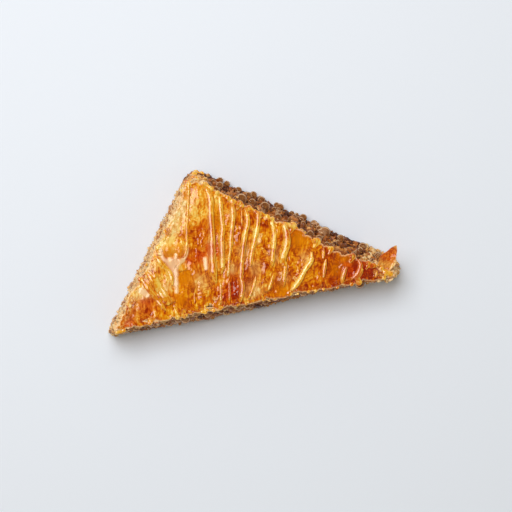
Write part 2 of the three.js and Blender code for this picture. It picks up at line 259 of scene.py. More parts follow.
def spread_round(rng, counts):
    """Shares round the piece, with so many on the front, the right and the left side."""
    ranges = [(MARKS[2 * i], MARKS[2 * i + 2]) for i in range(3)]
    return np.concatenate([rng.uniform(*ends, count) for ends, count in zip(ranges, counts)])


def nearest_side(points):
    """The number of the side that each point lies on, or lies furthest out towards."""
    outside = [(points[:, :2] - side["start"]) @ side["outward"] for side in SIDES]
    return np.argmax(outside, axis=0)


def from_apex(points):
    return np.linalg.norm(points[:, :2] - CORNERS["apex"], axis=1)


SOAKED_SHARES = np.array([0.15, 1.0, -0.4])  # of the front, the right and the left side
DRY_TIP = (144, 166)  # along X, where the soaking fades out at the right corner
DRY_APEX = (4, 12)  # the distances from the apex where it sets in


def soaked_through(points):
    """How far honey has soaked the wall near each point: most on the right, least on the left."""
    share = SOAKED_SHARES[nearest_side(points)]
    return share * (1 - rise(points[:, 0], *DRY_TIP)) * rise(from_apex(points), *DRY_APEX)


print("the middle is", inside_wall(*MIDDLE, CROWN_Z).round(1), "mm inside the rim of the crown")

# %% [markdown]
# ## Small tools
#
# `grain` is smooth noise with lumps of a given size. `run_through` draws a smooth route
# through a few chosen places, as the spoon moved. `band` is a grid from Blender's own
# operator, laid out as so many points round the piece and so many across, which a piece
# then bends into place by moving its points.

# %% Noise and routes
def grain(points, size, seed=0):
    """Noise from -1 to 1 at an array of points, with lumps of about that size."""
    points = np.asarray(points, float)
    flat = points.reshape(-1, points.shape[-1])
    if flat.shape[1] == 2:
        flat = np.column_stack([flat, np.zeros(len(flat))])
    shift = np.array([17.3, 5.1, 9.7]) * seed
    values = [noise.noise(p) for p in (flat / size + shift).tolist()]
    return np.array(values).reshape(points.shape[:-1])


def run_through(places, step):
    """Evenly spaced points on a smooth curve through the places, and the way to each."""
    p = np.array(places, float)
    p = np.vstack([2 * p[0] - p[1], p, 2 * p[-1] - p[-2]])
    s = np.linspace(0, 1, 30, endpoint=False)[:, None]
    curve = [p[-2:-1]]
    for a, b, c, d in reversed(list(zip(p, p[1:], p[2:], p[3:]))):
        bend = (2 * a - 5 * b + 4 * c - d) * s**2 + (3 * b - a - 3 * c + d) * s**3
        curve.insert(0, 0.5 * (2 * b + (c - a) * s + bend))
    curve = np.vstack(curve)
    way = np.concatenate([[0], np.cumsum(np.linalg.norm(np.diff(curve, axis=0), axis=1))])
    stops = np.linspace(0, way[-1], max(2, int(way[-1] / step)))
    return np.column_stack([np.interp(stops, way, column) for column in curve.T]), stops


ARCH, _ = run_through([(0, 0), (5, 2), (9, 0)], 0.5)
print("an arch through three places has", len(ARCH), "points")

# %% Bands
def band(columns, rows):
    """A flat grid, and each vertex's column and row as shares from 0 to 1."""
    bm = bmesh.new()
    bmesh.ops.create_grid(bm, x_segments=columns, y_segments=rows, size=0.5)
    co = np.array([v.co for v in bm.verts]) + 0.5
    return bm, co[:, 0], co[:, 1]


def place(bm, points):
    for vert, point in zip(bm.verts, to_frame(points).tolist()):
        vert.co = point


def close_band(bm):
    """Sews the last column of a band to the first, and closes its two open rims."""
    bmesh.ops.remove_doubles(bm, verts=bm.verts, dist=1e-6)
    bmesh.ops.holes_fill(bm, edges=[e for e in bm.edges if e.is_boundary], sides=0)
    bmesh.ops.recalc_face_normals(bm, faces=bm.faces)


# %% [markdown]
# Crumbs, nuts and flakes come by the hundred. Each kind has one small template, made once
# with an operator, and `scattered` joins its bent and turned copies into one mesh.

# %% Objects and scattered copies
def link(name, mesh, finish):
    mesh.polygons.foreach_set("use_smooth", [True] * len(mesh.polygons))
    mesh.materials.append(finish)
    obj = bpy.data.objects.new(name, mesh)
    bpy.context.scene.collection.objects.link(obj)
    return obj


def to_object(name, bm, finish):
    mesh = bpy.data.meshes.new(name)
    bm.to_mesh(mesh)
    bm.free()
    return link(name, mesh, finish)


def points_of(obj):
    co = np.zeros(len(obj.data.vertices) * 3)
    obj.data.vertices.foreach_get("co", co)
    return co.reshape(-1, 3) / MM + CENTRE


def set_values(obj, name, values):
    attribute = obj.data.attributes.new(name, "FLOAT", "POINT")
    attribute.data.foreach_set("value", np.asarray(values, np.float32))


def template(bm):
    """The points and faces of a small mesh whose faces all have as many corners."""
    bmesh.ops.recalc_face_normals(bm, faces=bm.faces)
    points = np.array([v.co for v in bm.verts])
    faces = np.array([[v.index for v in face.verts] for face in bm.faces])
    bm.free()
    return points, faces


def scattered(name, copies, faces, finish, tones=None):
    """One mesh from an array of copies of a template's points, in millimetres."""
    count, size = copies.shape[:2]
    points = to_frame(copies.reshape(-1, 3)).tolist()
    all_faces = faces[None] + np.arange(count)[:, None, None] * size
    mesh = bpy.data.meshes.new(name)
    mesh.from_pydata(points, [], all_faces.reshape(-1, faces.shape[1]).tolist())
    obj = link(name, mesh, finish)
    if tones is not None:
        set_values(obj, "tone", np.repeat(tones, size))
    return obj


def random_turns(rng, count, upright=0, looseness=1):
    """Turns in any way, or, with an upright of 1, by about as much as the looseness."""
    turns = np.linalg.qr(upright * np.eye(3) + looseness * rng.normal(size=(count, 3, 3)))[0]
    return turns * np.sign(np.linalg.det(turns))[:, None, None]


def turned(turns, shapes):
    """Every shape's points, turned by the shape's own turn."""
    return np.einsum("nij,nkj->nki", turns, shapes)


def register(obj, slot, *nodes):
    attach(obj, "root")
    if nodes:
        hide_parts(*nodes)
    triangles = sum(len(p.vertices) - 2 for p in obj.data.polygons)
    print(f"{obj.name}: {triangles} triangles")


# %% [markdown]
# ## Finishes
#
# A `Shade` wraps a socket, so that colours and masks can be worked out as in ordinary
# arithmetic. Any other node comes from `Recipe.node`, which sets the node's own settings
# first and then its inputs.

# %% A small language for materials
class Shade:
    def __init__(self, socket):
        self.socket = socket

    def maths(self, operation, first, second=None):
        node = self.socket.id_data.nodes.new("ShaderNodeMath")
        node.operation = operation
        for slot, value in zip(node.inputs, (first, second)):
            feed(slot, value)
        return Shade(node.outputs[0])

    def __add__(self, other):
        return self.maths("ADD", self, other)

    def __sub__(self, other):
        return self.maths("SUBTRACT", self, other)

    def __rsub__(self, other):
        return self.maths("SUBTRACT", other, self)

    def __mul__(self, other):
        return self.maths("MULTIPLY", self, other)

    def clipped(self):
        return self.maths("MINIMUM", self.maths("MAXIMUM", self, 0), 1)

    __radd__, __rmul__ = __add__, __mul__


def feed(slot, value):
    if isinstance(value, Shade):
        slot.id_data.links.new(value.socket, slot)
    elif value is not None:
        slot.default_value = value


# %% Recipes of nodes
class Recipe:
    """The nodes of one finish, or of the sky."""

    def __init__(self, owner):
        owner.use_nodes = True
        self.owner = owner
        self.tree = owner.node_tree

    def node(self, kind, settings={}, inputs={}, output=0):
        node = self.tree.nodes.new(kind)
        for key, value in settings.items():
            if key == "stops":
                while len(node.color_ramp.elements) < len(value):
                    node.color_ramp.elements.new(0.5)
                for element, (position, colour) in zip(node.color_ramp.elements, value):
                    element.position, element.color = position, (*colour, 1)
            else:
                setattr(node, key, value)
        for key, value in inputs.items():
            feed(node.inputs[key], value)
        return Shade(node.outputs[output])

    def place(self):
        return self.node("ShaderNodeTexCoord", output="Object")

    def value(self, name):
        return self.node("ShaderNodeAttribute", {"attribute_name": name}, output="Fac")

    def noise(self, size_mm, detail=2.0, roughness=0.5, distortion=0.0, stretch=None, turn=0.0):
        vector = self.place()
        if stretch:
            mapping = {"Vector": vector, "Scale": stretch, "Rotation": (0, 0, turn)}
            vector = self.node("ShaderNodeMapping", {"vector_type": "TEXTURE"}, mapping)
        inputs = {"Vector": vector, "Scale": 1 / (size_mm * MM), "Detail": detail}
        inputs |= {"Roughness": roughness, "Distortion": distortion}
        return self.node("ShaderNodeTexNoise", {}, inputs)

    def cells(self, size_mm):
        inputs = {"Vector": self.place(), "Scale": 1 / (size_mm * MM)}
        return self.node("ShaderNodeTexVoronoi", {}, inputs, "Distance")

    def step(self, value, low, high):
        """0 below low, 1 above high, and a smooth rise in between."""
        inputs = {"Value": value, "From Min": low, "From Max": high}
        return self.node("ShaderNodeMapRange", {"interpolation_type": "SMOOTHSTEP"}, inputs)

    def ramp(self, value, stops):
        return self.node("ShaderNodeValToRGB", {"stops": stops}, {"Fac": value})

    def blend(self, share, first, second):
        node = self.tree.nodes.new("ShaderNodeMix")
        node.data_type = "RGBA"
        feed(node.inputs["Factor"], share)
        for slot, colour in zip((node.inputs[6], node.inputs[7]), (first, second)):
            feed(slot, colour if isinstance(colour, Shade) else (*colour, 1))
        return Shade(node.outputs[2])

    def bump(self, height, depth_mm):
        return self.node("ShaderNodeBump", {}, {"Height": height, "Distance": depth_mm * MM})

    def set(self, **values):
        shader = self.tree.nodes["Principled BSDF"]
        for key, value in values.items():
            name = key.replace("_", " ")
            if name == "Base Color" and not isinstance(value, Shade):
                value = (*value, 1)
            feed(shader.inputs[name], value)
        return self.owner


def finish_named(name):
    print("finish:", name)
    return Recipe(bpy.data.materials.new(name))


def rgb(red, green, blue):
    """A colour as it looks on a screen, 0 to 255, as the light values that shaders use."""
    return tuple(((c / 255 + 0.055) / 1.055) ** 2.4 if c > 10 else c / 3295 for c in (red, green, blue))


def screen_stops(*stops):
    """Stops of a colour ramp from positions with the red, green and blue of a screen colour."""
    return [(position, rgb(*colour)) for position, *colour in stops]


# %% [markdown]
# ### Crisp golden pastry under honey
#
# Baked pastry isn't one brown. Thin spots toast to red-orange, thick ones stay gold, and
# honey deepens both. Noise of three sizes carries that, and the coat is the honey film.
# The `browned`, `pale` and `honeyed` values are painted on the points when the crown is made,
# and so is a painted highlight on the slopes that mirror the light, in one pale colour with
# a thin rim line that is partly the pastry's pale edge and partly painted highlight.

# %% The crown's finish
GOLDEN_STOPS = screen_stops(
    (0.33, 150, 38, 0), (0.42, 196, 80, 0), (0.50, 226, 126, 0), (0.58, 246, 168, 22), (0.68, 255, 216, 106)
)
TOASTED_STOPS = screen_stops((0.38, 146, 26, 0), (0.52, 204, 66, 0), (0.66, 232, 112, 22))
PALE_STOPS = screen_stops((0.36, 222, 146, 56), (0.50, 242, 190, 104), (0.64, 252, 228, 166))
STREAK_TURN = math.radians(-11.5)  # the way of the spoon, from the Y axis
STREAK_STRETCH = (1, 3.4, 1)


def golden_tone(finish, speckled=0.18):
    """Noise of three sizes, with the swirling fine lines of a film of honey."""
    toast = finish.noise(11, 3, 0.55, 0.6)
    mottle = finish.noise(2.8, 2, 0.6, 1.4, STREAK_STRETCH, STREAK_TURN)
    speckle = finish.noise(0.9, 0, 0.5, 0.5, STREAK_STRETCH, STREAK_TURN)
    swirl = finish.noise(7, 1, 0.5, 1.0) * 40
    rings = swirl.maths("SINE", swirl)
    return 0.46 * toast + 0.46 * mottle + speckled * (speckle - 0.5) + 0.04 + 0.045 * rings, rings


def golden_finish():
    golden = finish_named("golden_pastry")
    tone, rings = golden_tone(golden)
    tone = tone + 0.1 * golden.value("tone")
    honeyed, browned, gleam = [golden.value(name) for name in ("honeyed", "browned", "gleam")]
    colour = golden.blend(browned, golden.ramp(tone, GOLDEN_STOPS), golden.ramp(tone, TOASTED_STOPS))
    colour = golden.blend(golden.value("pale"), colour, golden.ramp(tone, PALE_STOPS))
    colour = golden.blend((0.75 * honeyed).clipped(), colour, rgb(230, 136, 0))
    crinkle = golden.noise(2.4, 1, 0.5, 1.2, (1, 1.5, 1), STREAK_TURN)
    skin = 0.9 * crinkle - 0.2 * golden.cells(2.2) + 0.12 * rings
    # Painted highlight: the last blend paints a pale highlight colour on the slopes that mirror the light,
    # and on a thin rim line that is partly the pale edge and partly painted highlight.
    return golden.set(
        Base_Color=golden.blend(gleam, colour, rgb(252, 206, 158)),
        Roughness=0.3,
        Specular_IOR_Level=0.0,
        Normal=golden.bump(skin * (1 - honeyed - gleam - 0.4 * browned).clipped(), 0.55),
        Coat_Weight=1.0,
        Coat_Roughness=0.06,
        Coat_IOR=1.5,
    )


golden_pastry = golden_finish()

# %% [markdown]
# ### Pastry edges
#
# Where the sheets are cut, the crumb shows: pale and dry near the crown, brown and moist
# near the plate. All three kinds share one recipe with other colours.

# %% Finishes for the sheet edges
def pastry_edge(name, stops, gloss):
    finish = finish_named(name)
    streaks = finish.noise(2.0, 3, 0.65, 0.5, stretch=(1, 1, 0.2))
    specks = finish.noise(0.6, 2, 0.6)
    tone = 0.6 * streaks + 0.4 * specks + 0.3 * (finish.value("tone") - 0.5)
    return finish.set(
        Base_Color=finish.ramp(tone, stops),
        Roughness=0.5,
        IOR=1.3,
        Normal=finish.bump(streaks + 0.6 * specks, 0.35),
        Coat_Weight=gloss,
        Coat_Roughness=0.12,
    )


DRY = screen_stops((0.3, 158, 80, 20), (0.43, 208, 130, 50), (0.55, 236, 176, 96), (0.7, 252, 222, 168))
MOIST = screen_stops((0.3, 92, 40, 8), (0.43, 148, 82, 30), (0.55, 192, 124, 56), (0.7, 230, 176, 108))
DARK = screen_stops((0.3, 74, 32, 8), (0.45, 126, 66, 26), (0.58, 172, 104, 48), (0.72, 216, 158, 92))
crisp_edge = pastry_edge("crisp_pastry_edge", DRY, 0.4)
soaked_edge = pastry_edge("soaked_pastry", MOIST, 0.5)
inner_edge = pastry_edge("filling_pastry", DARK, 0.5)

# %% [markdown]
# ### Walnuts and honey
#
# Each chopped piece keeps one tone, painted on its points, with fine grain over it. Honey
# is clear and thick, and it mirrors the light sharply. On the crown it has the colours of
# the pastry below it, and on the side that faces away from the light a yellow glow and a
# darker edge are painted on it. Where `clear` is 1, on the drops that hang down the sides,
# the nuts show through. The way such a drop bends the light is painted by how steep it is:
# looking from its top, where `steep` is 0, to its underside, where it is 1, it is brown,
# then has a painted light ring, a painted dark band, and a painted glow in its foot, and
# its side away from the light is painted browner. `milky` drops are full of fine air
# bubbles, and paler.

# %% Finishes for nuts and honey
NUT_STOPS = screen_stops((0.1, 70, 28, 6), (0.38, 136, 70, 24), (0.62, 188, 112, 46), (0.95, 238, 178, 104))


def walnut_finish():
    walnut = finish_named("walnut")
    grain_fine = walnut.noise(0.8, 3, 0.65)
    tone = 0.75 * walnut.value("tone") + 0.5 * (grain_fine - 0.22)
    return walnut.set(
        Base_Color=walnut.ramp(tone, NUT_STOPS),
        Roughness=0.45,
        IOR=1.3,
        Normal=walnut.bump(grain_fine, 0.35),
        Coat_Weight=0.35,
        Coat_Roughness=0.1,
    )


PAINTED_GLOW_AND_SHADE_STOPS = screen_stops(
    (0.0, 250, 184, 40), (0.06, 255, 214, 74), (0.17, 255, 196, 50), (0.3, 232, 132, 12), (0.45, 200, 92, 4)
)
BEAD_AND_PAINTED_LIGHT_STOPS = screen_stops(
    (0.0, 182, 120, 66), (0.1, 140, 78, 34), (0.16, 176, 112, 62),
    (0.225, 255, 220, 170), (0.29, 200, 140, 90), (0.39, 96, 46, 16),
    (0.52, 150, 78, 14), (0.7, 206, 118, 22), (0.95, 244, 160, 52),
)
MILKY_AND_PAINTED_LIGHT_STOPS = screen_stops(
    (0.0, 244, 196, 150), (0.1, 206, 146, 98), (0.16, 226, 170, 124),
    (0.225, 255, 228, 184), (0.29, 216, 160, 108), (0.39, 132, 74, 36),
    (0.52, 170, 98, 34), (0.7, 214, 132, 44), (0.95, 246, 176, 84),
)


def honey_finish():
    honey = finish_named("honey")
    clear, steep, milky, browned, lit_through = [
        honey.value(name) for name in ("clear", "steep", "milky", "browned", "lit_through")
    ]
    tone, _ = golden_tone(honey, speckled=0.05)
    on_crown = honey.ramp(tone + 0.07, GOLDEN_STOPS)
    on_crown = honey.blend(0.8 * browned, on_crown, rgb(206, 74, 0))
    # Painted light and shade: on the side away from the light the ropes get a painted yellow glow and a
    # painted darker edge, by how steep they are.
    on_crown = honey.blend(lit_through, on_crown, honey.ramp(steep, PAINTED_GLOW_AND_SHADE_STOPS))
    # Painted light and shade on the drops: by steepness a painted light ring, a painted dark band and a
    # painted glow at the foot, and browner paint on the side away from the light.
    on_side = honey.ramp(steep, BEAD_AND_PAINTED_LIGHT_STOPS)
    on_side = honey.blend(0.8 * milky, on_side, honey.ramp(steep, MILKY_AND_PAINTED_LIGHT_STOPS))
    on_side = honey.blend(0.4 * lit_through, on_side, rgb(160, 100, 54))
    return honey.set(
        Base_Color=honey.blend(clear, on_crown, on_side),
        Roughness=0.2,
        Specular_IOR_Level=0.0,
        Coat_Weight=1 - 0.5 * clear,
        Coat_Roughness=0.07,
        Coat_IOR=1.75,
        Alpha=(0.95 - clear * (0.5 - 1.4 * steep - 0.12 * milky)).clipped(),
    )


walnut = walnut_finish()
honey = honey_finish()

# %% [markdown]
# ## Pastry sheets
#
# A stack is made of real sheets, each with its own torn edge. A sheet is one band bent
# round its rim: the rows run in over the upper face, round the edge and back under the
# lower face, and the two flat middles are closed with one face each. Shrinking the
# outline towards the middle of the triangle moves all three sides in by the same amount,
# because that middle is the centre of the inscribed circle.

# %% Torn edges
RAGGED_WAVES = [(13, 0.3), (29, 0.3), (47, 0.25), (61, 0.15), (103, 0.12), (167, 0.1)]
BREAKS = 150
EDGE_DROOP = 1.3  # how far the knife presses the rim of the crisp stack down
DROOP_WIDTH = 3.5
SUNK_INSIDE = 1.6  # and how much lower its sheets lie behind the rim


def torn(t, rng, raggedness):
    """How far a torn edge strays outwards at shares t round the piece, in millimetres."""
    push = np.zeros_like(t)
    for cycles, share in RAGGED_WAVES:
        push += share * np.sin(2 * np.pi * (cycles * t + rng.random()))
    breaks = np.sort(rng.random(BREAKS))
    offsets = rng.normal(0, 0.5, BREAKS)
    slanted = np.interp(np.mod(t, 1), breaks, offsets, period=1)
    stepped = offsets[np.searchsorted(breaks, np.mod(t, 1)) % BREAKS]
    return raggedness * (push + 0.5 * slanted + 0.5 * stepped)


def settled(z, inside):
    """Where a sheet of the crisp stack lies so far inside its edge, once it is cut."""
    share = np.clip((z - TOP_Z) / TOP_STACK, 0, 1)
    rim = EDGE_DROOP * np.exp(-np.maximum(inside, 0) / DROOP_WIDTH)
    return z - share * (rim + SUNK_INSIDE * ease((inside - 0.8) / 3))


print(len(RAGGED_WAVES), "waves and", BREAKS, "breaks along each torn edge")

# %% One sheet, and a stack of them
SHEET_POINTS = 620  # round the rim
# From the middle over the edge and back: how far inwards, and the share of half the thickness.
SHEET_PROFILE = [(9, -1), (4, -1), (1.6, -1), (0.5, -0.9), (0, 0), (0.5, 0.9), (1.6, 1), (4, 1), (9, 1)]


def sheet(height, thickness, raggedness, lift, rng):
    """One sheet of pastry at a height. Its rim waves up and down by about `lift`."""
    last_row = len(SHEET_PROFILE) - 1
    bm, column, row = band(SHEET_POINTS, last_row)
    inward, face = np.array(SHEET_PROFILE)[np.round(row * last_row).astype(int)].T
    smooth = wall(column, height)
    edge = off_wall(column, height, torn(column, rng, raggedness))[:, :2]
    flat = MIDDLE + (edge - MIDDLE) * (1 - inward / INRADIUS)[:, None]
    seed = rng.integers(1000)
    wave = grain(smooth, 9, seed) + 0.6 * grain(smooth, 3, seed + 1)
    z = settled(height, inward) + lift * wave * np.exp(-inward / 2.5) + face * thickness / 2
    place(bm, np.column_stack([flat, z]))
    close_band(bm)
    return bm


def stack(name, heights, thickness, raggedness, lift, finish, seed):
    rng = np.random.default_rng(seed)
    whole = bmesh.new()
    tones = []
    for height in heights:
        one = sheet(height, thickness, raggedness, lift, rng)
        layer = bpy.data.meshes.new("layer")
        one.to_mesh(layer)
        tones += [rng.random()] * len(one.verts)
        one.free()
        whole.from_mesh(layer)
        bpy.data.meshes.remove(layer)
    obj = to_object(name, whole, finish)
    set_values(obj, "tone", np.array(tones) - soaked_through(points_of(obj)))
    return obj


# %% The soaked stack at the bottom
BOTTOM_SHEETS = 9
sheet_step = BOTTOM_Z / BOTTOM_SHEETS
bottom_heights = (np.arange(BOTTOM_SHEETS) + 0.5) * sheet_step
bottom_sheets = stack(
    "soaked_sheets",
    bottom_heights,
    thickness=0.86 * sheet_step,
    raggedness=0.8,
    lift=0.1,
    finish=soaked_edge,
    seed=5,
)
register(bottom_sheets, "soaked_pastry", "bottom_pastry")

# %% The crisp stack under the crown
CRISP_SHEETS = 9
ROOM_FOR_CROWN = 0.5  # for the uppermost sheet, which is made below
crisp_step = (TOP_STACK - ROOM_FOR_CROWN) / CRISP_SHEETS
crisp_heights = TOP_Z + (np.arange(CRISP_SHEETS) + 0.5) * crisp_step
crisp_sheets = stack(
    "crisp_sheets",
    crisp_heights,
    thickness=0.55 * crisp_step,
    raggedness=0.9,
    lift=0.3,
    finish=crisp_edge,
    seed=7,
)
register(crisp_sheets, "golden_pastry", "top_pastry")

# %% [markdown]
# ## The crown's relief
#
# The crown sinks at its rim, swells where air lifted the sheets in the oven, and is
# creased all over. Honey fills the creases where it stands in pools. In a few places a
# fold leans towards the light: there the surface is a smooth slope, which mirrors it, and
# a highlight colour is painted on it as well. A spot is written as its place in X and Y,
# its radius, and its strength or height.

# %% Where the crown swells, browns and shines
BLISTERS = [
    (43, 39.4, 3.9, 1.9), (49.1, 38.6, 3, 1.4), (48.9, 35.4, 2.3, 1.0), (101, 33, 6, 0.8),
    (60, 62, 6, 0.7),
]
TOASTED = [
    (23.2, 10.7, 6.5, 0.95), (10.8, 3.1, 5, 0.95), (64.5, 47, 5.5, 0.75), (60.5, 31, 6, 1.1),
    (67, 36, 4.5, 1.0), (72, 32, 4, 0.8), (52, 31.5, 4, 0.8), (38, 15, 5, 0.4),
    (84, 55, 7, 0.35), (75, 16, 5, 0.7), (103, 8, 4, 0.5), (114, 35, 4, 0.7),
    (49, 34.5, 3, 0.5), (69.8, 8, 5, 0.95), (75.9, 8.6, 4.5, 0.9), (82.7, 10.8, 3.5, 0.6),
    (88, 16, 4, 0.5), (145.1, 4.8, 5, 1.0), (149, 8, 9, 0.7), (139, 10, 6, 0.4),
    (131.7, 4.1, 6, 0.5), (155, 3, 5, 0.5),
]
PALE = [
    (49, 56, 4, 0.8), (52, 62, 3.5, 0.8), (55, 67, 3, 0.7), (57.5, 17.5, 4.5, 0.7),
    (48, 49, 3.5, 0.5), (61, 64, 4, 0.4), (86, 30, 4, 0.6), (90.5, 18.5, 3.5, 0.7),
    (104, 24, 4, 0.6), (120, 18.5, 3.5, 0.5), (86.2, 6.4, 5, 0.7), (23.2, 17.8, 3, 0.7),
    (37.9, 19, 3, 0.5), (77.4, 21.4, 3, 0.6), (30, 31, 3.5, 0.6), (55, 59, 3.5, 0.5),
    (105, 9, 3.5, 0.5), (163, -0.5, 4, 0.35), (63.5, 80, 5, 0.7),
]
# The pools at (43, 38.4) and (49, 37) lie on the lower halves of the two blisters, where their even orange
# honey colour is also painted shade.
POOLS = [
    (48.8, 21.5, 6, 1.0), (43.3, 9.4, 4, 0.8), (119.3, 29.9, 6.5, 1.0), (103.9, 2, 5, 0.9),
    (58, 70, 5, 0.7), (143.1, 15.4, 5, 0.7), (43, 38.4, 4, 1.0), (49, 37, 3.4, 1.0),
    (74, 48, 4, 0.6), (136, 8, 4, 0.6),
]
# These slopes mirror the light, and the crown's paint puts a painted highlight on them as well.
GLINTS = [
    ([(37.9, 40.7), (38.3, 35.6), (40.3, 33), (43.2, 29)], 1.0),
    ([(53.5, 40), (52.5, 35.6), (50, 32.2), (47.3, 30.7), (44.4, 28)], 0.9),
    ([(46.2, 35.8), (45, 31)], 0.9),
    ([(42.2, 32.4), (43.8, 29)], 2.5),
    ([(44.5, 31.2), (46.5, 31.6)], 1.7),
    ([(43.7, 29), (43.3, 24.5)], 1.9),
    ([(43.3, 24.5), (42.8, 19)], 1.4),
    ([(42.8, 19), (42.4, 14.4)], 0.9),
    ([(62.6, 30), (62, 24.5)], 1.1),
    ([(22, 19.5), (25, 16.5)], 1.7),
]
print(len(TOASTED), "browned,", len(PALE), "pale and", len(POOLS), "honeyed spots")

# %% The height of the crown
WRINKLE_HEIGHT = 0.5
GLINT_SLOPE = 0.333
LIGHT_FROM = np.array([-0.9, 0.44])  # the light's direction over the plate
SPOON_WAY = np.array([-0.2, -0.98])  # thin honey lies in streaks along the spoon's way
SPOON_ACROSS = np.array([0.98, -0.2])
RING_TURNS = np.linspace(0, 2 * math.pi, 8, endpoint=False)
RING = 5 * np.array([(math.cos(turn), math.sin(turn)) for turn in RING_TURNS])


def away_from(spot, flat):
    """Distances from a spot's middle, as shares of its radius."""
    x, y, radius, _ = spot
    return np.hypot(*(flat - (x, y)).T) / radius


def patches(spots, flat):
    total = np.zeros(len(flat))
    for spot in spots:
        total += spot[3] * np.exp(-(away_from(spot, flat) ** 2))
    return total


def distance_to_rim(flat):
    return inside_wall(*flat.T, CROWN_Z)


def wavy_height(flat):
    x, y = flat.T
    droop = EDGE_DROOP * np.exp(-np.maximum(distance_to_rim(flat), 0) / DROOP_WIDTH)
    wrinkles = np.sin(0.24 * x + 0.9 * np.sin(0.11 * y)) * np.sin(0.19 * y + 0.07 * x)
    wrinkles += 0.5 * np.sin(0.52 * x - 0.31 * y)
    return CROWN_Z - droop + WRINKLE_HEIGHT * wrinkles


def smooth_height(flat):
    """The wavy crown with its pools, in which honey stands level, and its blisters."""
    height = wavy_height(flat)
    for pool in POOLS:
        level = wavy_height(np.array([pool[:2]]))
        height = mix(height, level, 0.95 * pool[3] * np.exp(-(away_from(pool, flat) ** 4)))
    for blister in BLISTERS:
        height += blister[3] * np.clip(1 - away_from(blister, flat) ** 2, 0, 1) ** 0.8
    return height


print("the crown's middle is", smooth_height(MIDDLE[None]).round(1), "mm high")

# %% Slopes that mirror the light, and the whole relief
def glint_route(places, radius):
    """The middle line of a smooth slope, and its level: the mean of the crown round about."""
    route, _ = run_through(places, 0.5)
    level = np.mean([smooth_height(route + away) for away in RING], axis=0)
    return route, level, radius


GLINT_ROUTES = [glint_route(*glint) for glint in GLINTS]


def glint_share(flat):
    """How far each point belongs to a smooth slope, and the height of that slope."""
    share, height = np.zeros(len(flat)), np.zeros(len(flat))
    for route, level, radius in GLINT_ROUTES:
        apart = flat[:, None] - route[None]
        nearest = np.argmin((apart**2).sum(-1), axis=1)
        offset = apart[np.arange(len(flat)), nearest]
        mask = 1 - ease((np.linalg.norm(offset, axis=1) / radius - 0.75) / 0.6)
        slope = level[nearest] - GLINT_SLOPE * (offset @ LIGHT_FROM)
        height = np.where(mask > share, slope, height)
        share = np.maximum(mask, share)
    return share, height


def crown_surface(flat):
    """The crown's height with creases and small bubbles."""
    folds = -np.abs(grain(flat * [1, 0.6], 5, 11)) - 0.6 * np.abs(grain(flat, 2.2, 12))
    combed = np.column_stack([flat @ SPOON_ACROSS, flat @ SPOON_WAY / 9])
    detail = 0.5 * folds + 0.2 * grain(flat, 1.5, 13) + 0.3 * grain(flat, 7, 14)
    detail += 0.12 * grain(combed, 1.6, 15)
    calm = 1 - np.clip(1.3 * patches(POOLS, flat), 0, 1)
    height = smooth_height(flat) + (0.25 + detail) * calm * ease(distance_to_rim(flat) / 3)
    share, slope = glint_share(flat)
    return mix(height, slope + 0.3, share)


print("with creases it is", crown_surface(MIDDLE[None]).round(1), "mm high")

# %% [markdown]
# ## The crown sheet
#
# The uppermost sheet carries the look of the piece, so it gets a fine even grid. Points
# outside the torn outline are removed, the new border is pulled onto the outline, and the
# height comes from the relief. Pulling the border edges down gives it a thickness.

# %% The torn outline of the uppermost sheet
RIM_POINTS = 1800
cusps = np.sort(spread_round(np.random.default_rng(29), (20, 24, 24)))


def lobes_between(t):
    """Rounded lobes between the cusps of the rim, in millimetres, and each lobe's width."""
    which = np.searchsorted(cusps, np.mod(t, 1)) % len(cusps)
    start = cusps[which - 1]
    width = np.mod(cusps[which] - start, 1) * PERIMETER
    part = np.mod(t - start, 1) * PERIMETER / width
    return np.minimum(0.24 * width, 1.7) * np.sqrt(np.clip(4 * part * (1 - part), 0, 1))


def rim_outline():
    rng = np.random.default_rng(3)
    around = np.linspace(0, 1, RIM_POINTS, endpoint=False)
    out = torn(around, rng, 0.4) + lobes_between(around) - 1.05
    return off_wall(around, CROWN_Z, out)[:, :2]


RIM = rim_outline()
rim_tree = kdtree.KDTree(len(RIM))
for number, (x, y) in enumerate(RIM):
    rim_tree.insert((x, y, 0), number)
rim_tree.balance()


def distance_to_edge(flat):
    """How far points lie from the torn outline of the uppermost sheet."""
    return np.array([rim_tree.find((x, y, 0))[2] for x, y in flat.tolist()])


def inside_outline(points, outline):
    """Whether points lie inside an outline: a ray to the right crosses it an odd number of times."""
    x, y = points.T
    odd = np.zeros(len(points), bool)
    for a, b in zip(outline, np.roll(outline, -1, axis=0)):
        crosses = (a[1] > y) != (b[1] > y)
        if crosses.any():
            odd ^= crosses & (x < a[0] + (y - a[1]) * (b[0] - a[0]) / (b[1] - a[1]))
    return odd


print("the outline has", RIM_POINTS, "points and", len(cusps), "lobes")

# %% The uppermost sheet
CROWN_CELL = 0.5
CROWN_THICKNESS = 0.5
LIP_HEIGHT = 0.4  # the edge curls up a little


